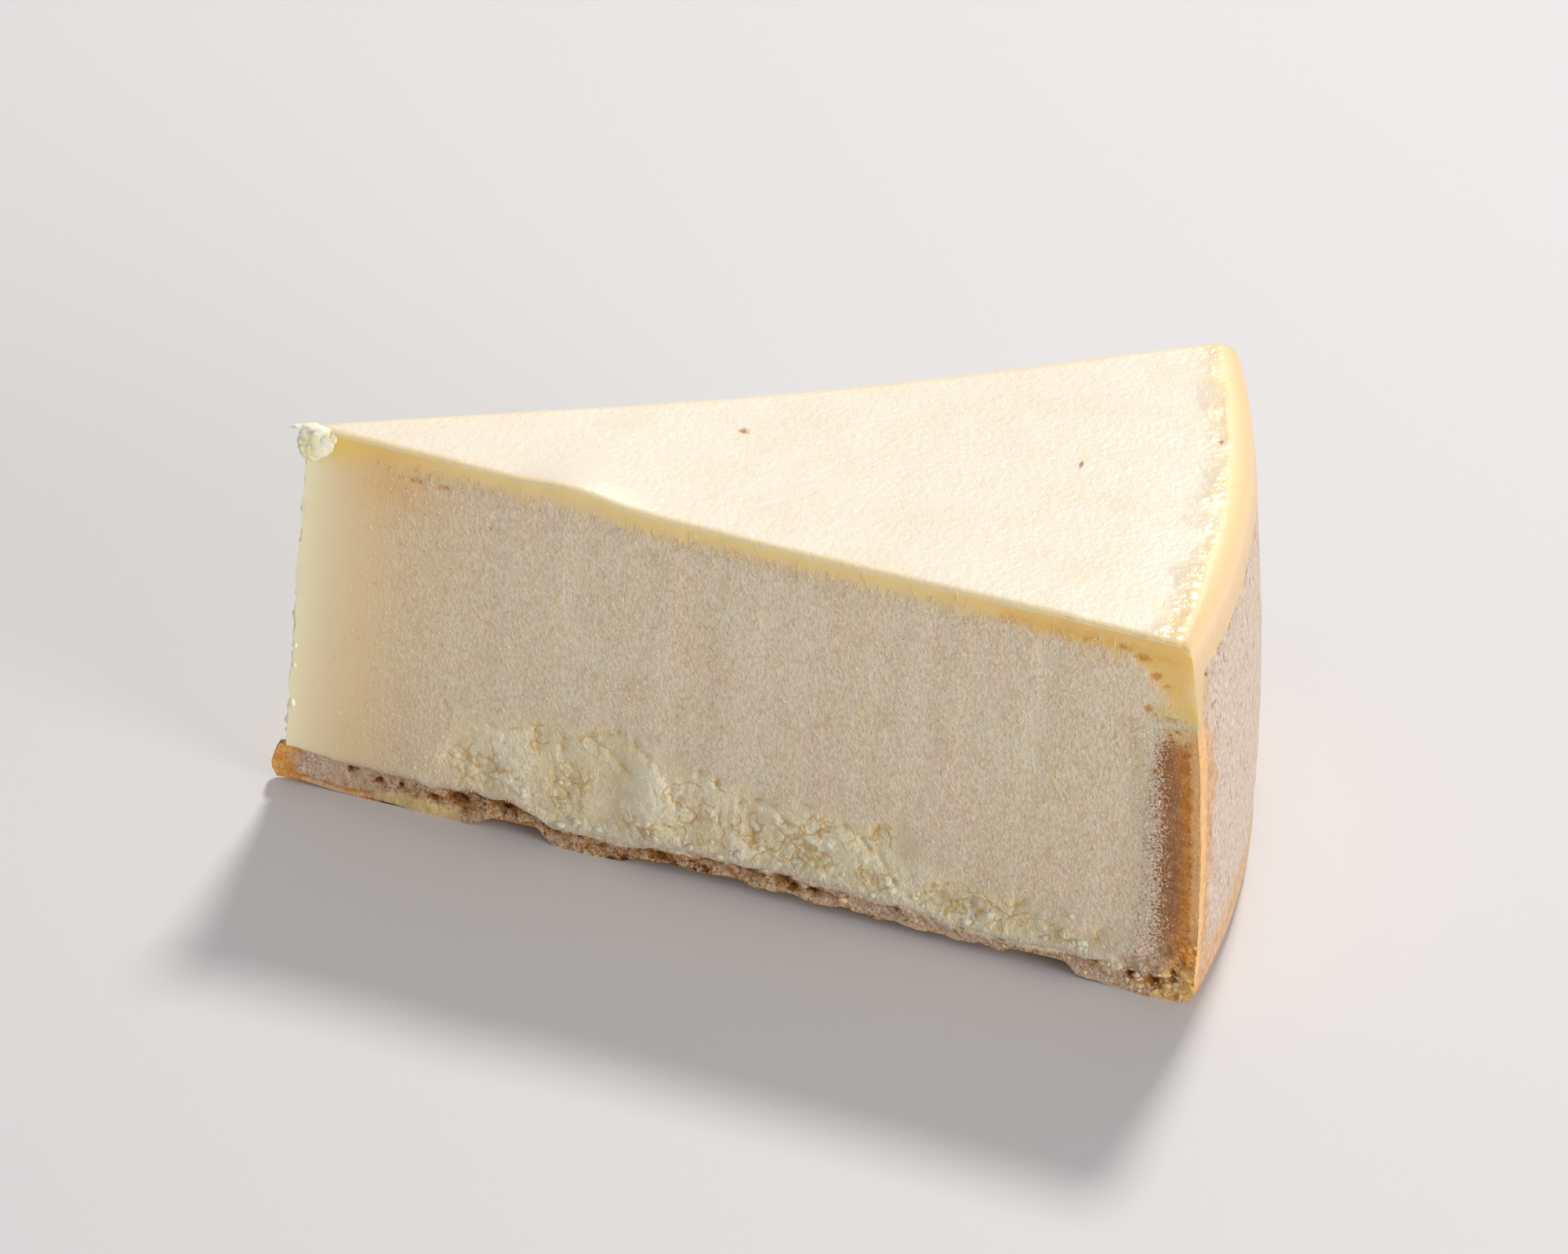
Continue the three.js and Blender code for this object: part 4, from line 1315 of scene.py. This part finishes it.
# thin three-sided spikes, each from its root along its way and bending as it goes
def spikePoints(roots, ways, bends, lengths, radii):
    lengths, radii = lengths[:, None], radii[:, None]
    sideways = np.cross(ways, [0.3, 0.9, 0.2])
    sideways /= np.linalg.norm(sideways, axis=1)[:, None]
    upwards = np.cross(ways, sideways)
    corners = []
    for share, width in ((0, 1.0), (0.55, 0.75)):
        middle = roots + lengths * (ways * share + bends * share ** 2)
        for turn in (0, 2 * np.pi / 3, 4 * np.pi / 3):
            corners.append(middle + radii * width * (sideways * np.cos(turn) + upwards * np.sin(turn)))
    corners.append(roots + lengths * (ways + bends))
    return np.stack(corners, 1)


# three sides, the point's three and the root's end
spikeFaces = [(0, 1, 4, 3), (1, 2, 5, 4), (2, 0, 3, 5), (3, 4, 6), (4, 5, 6), (5, 3, 6), (2, 1, 0)]


# many small shapes with the same faces, joined into one piece
def makeJoined(name, blocks, faces, material):
    points = blocks.reshape(-1, 3)
    step = blocks.shape[1]
    every = [tuple(n * step + corner for corner in face) for n in range(len(blocks)) for face in faces]
    mesh = bpy.data.meshes.new(name)
    mesh.from_pydata(points.tolist(), [], every)
    piece = finishPiece(mesh, points, [material], np.zeros(len(mesh.polygons), int), {})
    return piece


# points on a cut through the crust's wall
def onCrustFace(along, height, across):
    depth = crustRelief(along, height, sliceLength(across, height) - along, across < 0)[0]
    points = pointAt(along, across, height)
    pressIn(points, across, depth, depth, crustMesh["cutReach"])
    return points


# one kind of frost on one cut: more roots are drawn than wanted, and kept where the cut is frosted
def frostOn(rng, kind, across):
    look = frostKinds[kind]
    count = look["near"] if across < 0 else look["far"]
    turned = across * s["halfAngle"]
    alongWay = np.array([math.cos(turned), math.sin(turned), 0])
    outWay = np.array([-math.sin(s["halfAngle"]), across * math.cos(s["halfAngle"]), 0])
    upWay = np.array([math.tan(s["cutLean"]), 0, 1])
    many = count * 3
    along = rng.uniform(*frostSpread["along"], many)
    side = np.full(many, across)
    height = rng.uniform(*frostSpread["height"], many)
    if kind == "needle":
        height = topHeight(along, side) - bandWidthAt(along) - rng.normal(1.6, 0.8, many)
    _, masks, under, fromSide = cutRelief(along, height, side)
    wanted = masks["frost"] * (fromSide > 9.5)
    if kind == "needle":
        wanted = smoothstep(along, 6, 24) * (under > 1.0) * (fromSide > 9.5)
    if kind == "wall":
        along = sliceLength(side, height) - 2.2 - 7.0 * rng.uniform(0, 1, many) ** 0.6
        fromSide = sliceLength(side, height) - along
        wanted = smoothstep(fromSide, 3.9, 6.8) * (height < wallTop(side) - 0.8) * (height > 7)
    chosen = np.nonzero(rng.uniform(0, 1, many) < wanted)[0][:count]
    along, height, side = along[chosen], height[chosen], side[chosen]
    count = len(chosen)
    lean = rng.normal(0, look["lean"], count)
    stand = rng.uniform(*look["stand"], count)
    ways = np.cos(lean)[:, None] * upWay + np.sin(lean)[:, None] * alongWay + stand[:, None] * outWay
    ways /= np.linalg.norm(ways, axis=1)[:, None]
    bends = rng.normal(0, 0.22, count)[:, None] * alongWay - 0.15 * outWay
    lengths = rng.uniform(*look["length"], count)
    radii = look["radius"] * rng.uniform(0.7, 1.25, count)
    place = onCrustFace if kind == "wall" else onCutFace
    roots = place(along, height, side) - frostSpread["rootDepth"] * outWay
    return spikePoints(roots, ways, bends, lengths, radii)


def makeFrost():
    rng = np.random.default_rng(frostSpread["seed"])
    blocks = [frostOn(rng, kind, across) for across in (-1.0, 1.0) for kind in frostKinds]
    return makeJoined("frostNeedles", np.concatenate(blocks), spikeFaces, frostMaterial)


frost = makeFrost()
print("frost made:", len(frost.data.polygons), "faces")


# small rounded lumps: a ball's corners pushed about by noise
def lumpTemplate(level):
    ball = bmesh.new()
    bmesh.ops.create_icosphere(ball, subdivisions=level, radius=1)
    corners = np.array([v.co for v in ball.verts])
    faces = [tuple(v.index for v in f.verts) for f in ball.faces]
    ball.free()
    return corners, faces


# one ball for each centre and size, every one bulged in its own way
def lumpPoints(centres, sizes, seed, corners, octaves=3, bulging=1.0):
    rng = np.random.default_rng(seed)
    blocks = []
    x, y, z = corners.T
    for centre, size in zip(centres, sizes):
        shift = rng.uniform(0, 50, 3)
        bulge = 1 + 0.55 * roughNoise(x * 1.3 + shift[0], y * 1.3 + shift[1], 5, octaves)
        bulge = bulge + 0.45 * roughNoise(z * 1.9 + shift[2], x * 1.9 + shift[0], 6, octaves)
        blocks.append(centre + corners * (1 + bulging * (bulge[:, None] - 1)) * size)
    return np.array(blocks)


# pale cream dragged out at the tip by the knife: distance, height, how far out, sizes
tipLumps = [
    (1.5, 53.9, -0.1, (2.5, 0.75, 2.1)), (0.6, 54.9, -0.15, (1.7, 0.7, 1.1)),
    (0.4, 52.9, -0.2, (1.4, 0.75, 1.2)), (2.6, 54.4, -0.3, (1.7, 0.7, 1.2)),
    (0.9, 51.9, -0.3, (1.2, 0.65, 1.1)), (2.1, 52.4, -0.3, (1.3, 0.6, 1.0)),
    (-0.3, 54.0, -0.2, (0.7, 0.5, 0.8)), (-0.2, 52.2, -0.3, (0.6, 0.5, 0.7)),
    (3.6, 54.9, -0.4, (1.0, 0.6, 0.7)), (1.6, 55.6, -0.2, (1.6, 0.8, 0.5)),
    (-0.6, 56.0, -0.2, (1.6, 0.5, 0.28)), (0.7, 56.1, -0.2, (1.5, 0.7, 0.3)),
]

# the nubs all the way down the tip
tipNubs = dict(
    lowest=6.5,
    highest=51,
    spacing=0.9,
    size=(0.28, 0.52),
    shape=(1.3, 0.9, 1.8),
)


def makeTipCrumbs():
    rng = np.random.default_rng(9)
    corners, faces = lumpTemplate(4)
    outWay = np.array([-math.sin(s["halfAngle"]), -math.cos(s["halfAngle"]), 0])
    centres, sizes = [], []
    for along, height, out, size in tipLumps:
        centres.append(pointAt(np.array(along), np.array(-1.0), np.array(height)) + out * outWay)
        sizes.append(np.array(size))
    blocks = lumpPoints(centres, sizes, 10, corners, 5, 0.55)
    makeJoined("tipCrumbs", blocks, faces, draggedMaterial)
    corners, faces = lumpTemplate(2)
    centres, sizes = [], []
    for level in np.arange(tipNubs["lowest"], tipNubs["highest"], tipNubs["spacing"]):
        along, side = rng.uniform(0.25, 0.6), rng.uniform(-1, 1)
        size = rng.uniform(*tipNubs["size"])
        height = level + rng.uniform(-0.4, 0.4)
        centres.append(pointAt(np.array(along + 0.15), np.array(side), np.array(height)))
        sizes.append(size * np.array(tipNubs["shape"]))
    blocks = lumpPoints(centres, sizes, 10, corners)
    makeJoined("tipNubs", blocks, faces, draggedMaterial)


makeTipCrumbs()
print("dragged cream made")

# what clings to the foot of the cuts, in the order made: near cut or not, count, golden biscuit or curd, seed
footCrumbs = dict(
    curdsNear=(True, 90, False, 12),
    curdsFar=(False, 90, False, 14),
    crumbsNear=(True, 80, True, 16),
    crumbsFar=(False, 80, True, 18),
)


def makeFootCrumbs(name, near, count, golden, seed):
    rng = np.random.default_rng(seed)
    corners, faces = lumpTemplate(2)
    across = -1.0 if near else 1.0
    side = np.array([across])
    outWay = np.array([-math.sin(s["halfAngle"]), across * math.cos(s["halfAngle"]), 0])
    centres, sizes = [], []
    while len(centres) < count:
        if golden:
            spread, cornered = rng.uniform(28, 118), rng.uniform(115, 125.5)
            along = np.array([rng.choice([spread, cornered], p=[0.25, 0.75])])
            low = lineValue(chipsNear if near else chipsFar, along)
            height = low + rng.uniform(0.4, 3.6)
            size = rng.uniform(0.25, 0.6)
            place = onCrustFace(along, height, side)[0]
        else:
            along = np.array([rng.uniform(30, 116)])
            height = baseTop(along, side) + abs(rng.normal(0.0, 2.2)) + 0.2
            size = rng.uniform(0.3, 0.75)
            place = onCutFace(along, height, side)[0]
        if along[0] > sliceLength(side, height)[0] - 0.7:
            continue
        centres.append(place - outWay * size * rng.uniform(0.45, 0.8))
        stretch = [rng.uniform(0.9, 1.6), rng.uniform(0.6, 0.9), rng.uniform(0.7, 1.2)]
        sizes.append(size * np.array(stretch))
    blocks = lumpPoints(centres, sizes, seed + 1, corners)
    material = looseCrumbMaterial if golden else curdMaterial
    return makeJoined(name, blocks, faces, material)


for crumbName, crumbSettings in footCrumbs.items():
    makeFootCrumbs(crumbName, *crumbSettings)
print("curds and crumbs made")


# ---- floor and light

studio = dict(
    floorSize=6,
    floorLook=dict(ior=1.5, specular=0.5),
    floorColour="#DAD9DB",
    floorRoughness=0.6,
    keyUp=math.radians(54),
    keyRight=math.radians(19),
    keyDistance=1.3,
    keySize=0.2,
    keyPower=10.2,
    keyColour="#FFFBF4",
    ambient=0.475,
    ambientColour="#F4F4F6",
    fillPower=23.5,
    fillSize=0.9,
    fillTurn=math.radians(58),
    fillUp=math.radians(4),
)


# a pale matt floor
def makeFloor():
    bpy.ops.mesh.primitive_plane_add(size=studio["floorSize"])
    floor = bpy.context.object
    floor.name = "floor"
    material = startMaterial("paleFloor")[0]
    closeMaterial(material, studio["floorLook"], studio["floorColour"], studio["floorRoughness"])
    floor.data.materials.append(material)


def addAreaLight(name, way, distance, size, power, colour):
    data = bpy.data.lights.new(name, "AREA")
    data.shape = "DISK"
    data.size = size
    data.energy = power
    data.color = hexColour(colour)[:3]
    lamp = bpy.data.objects.new(name, data)
    lamp.location = way * distance
    lamp.rotation_euler = (-way).to_track_quat("-Z", "Y").to_euler()
    bpy.context.collection.objects.link(lamp)


# a direction at a turn to the right of straight behind the slice, and a height above level
def wayTo(turn, up):
    back = Vector((forwardWay.x, forwardWay.y, 0)).normalized()
    right = Vector((rightWay.x, rightWay.y, 0)).normalized()
    flat = back * math.cos(turn) + right * math.sin(turn)
    return flat * math.cos(up) + Vector((0, 0, math.sin(up)))


def makeLight():
    look = studio
    addAreaLight("keyLight", wayTo(look["keyRight"], look["keyUp"]), look["keyDistance"],
                 look["keySize"], look["keyPower"], look["keyColour"])
    # from the right and in front, low
    addAreaLight("fillLight", wayTo(math.pi - look["fillTurn"], look["fillUp"]), look["keyDistance"],
                 look["fillSize"], look["fillPower"], look["ambientColour"])
    world = bpy.data.worlds.new("studio")
    world.use_nodes = True
    background = world.node_tree.nodes["Background"].inputs
    background["Color"].default_value = hexColour(look["ambientColour"])
    background["Strength"].default_value = look["ambient"]
    bpy.context.scene.world = world
    bpy.context.scene.view_settings.view_transform = "Standard"


makeFloor()
makeLight()
print("floor and light made")
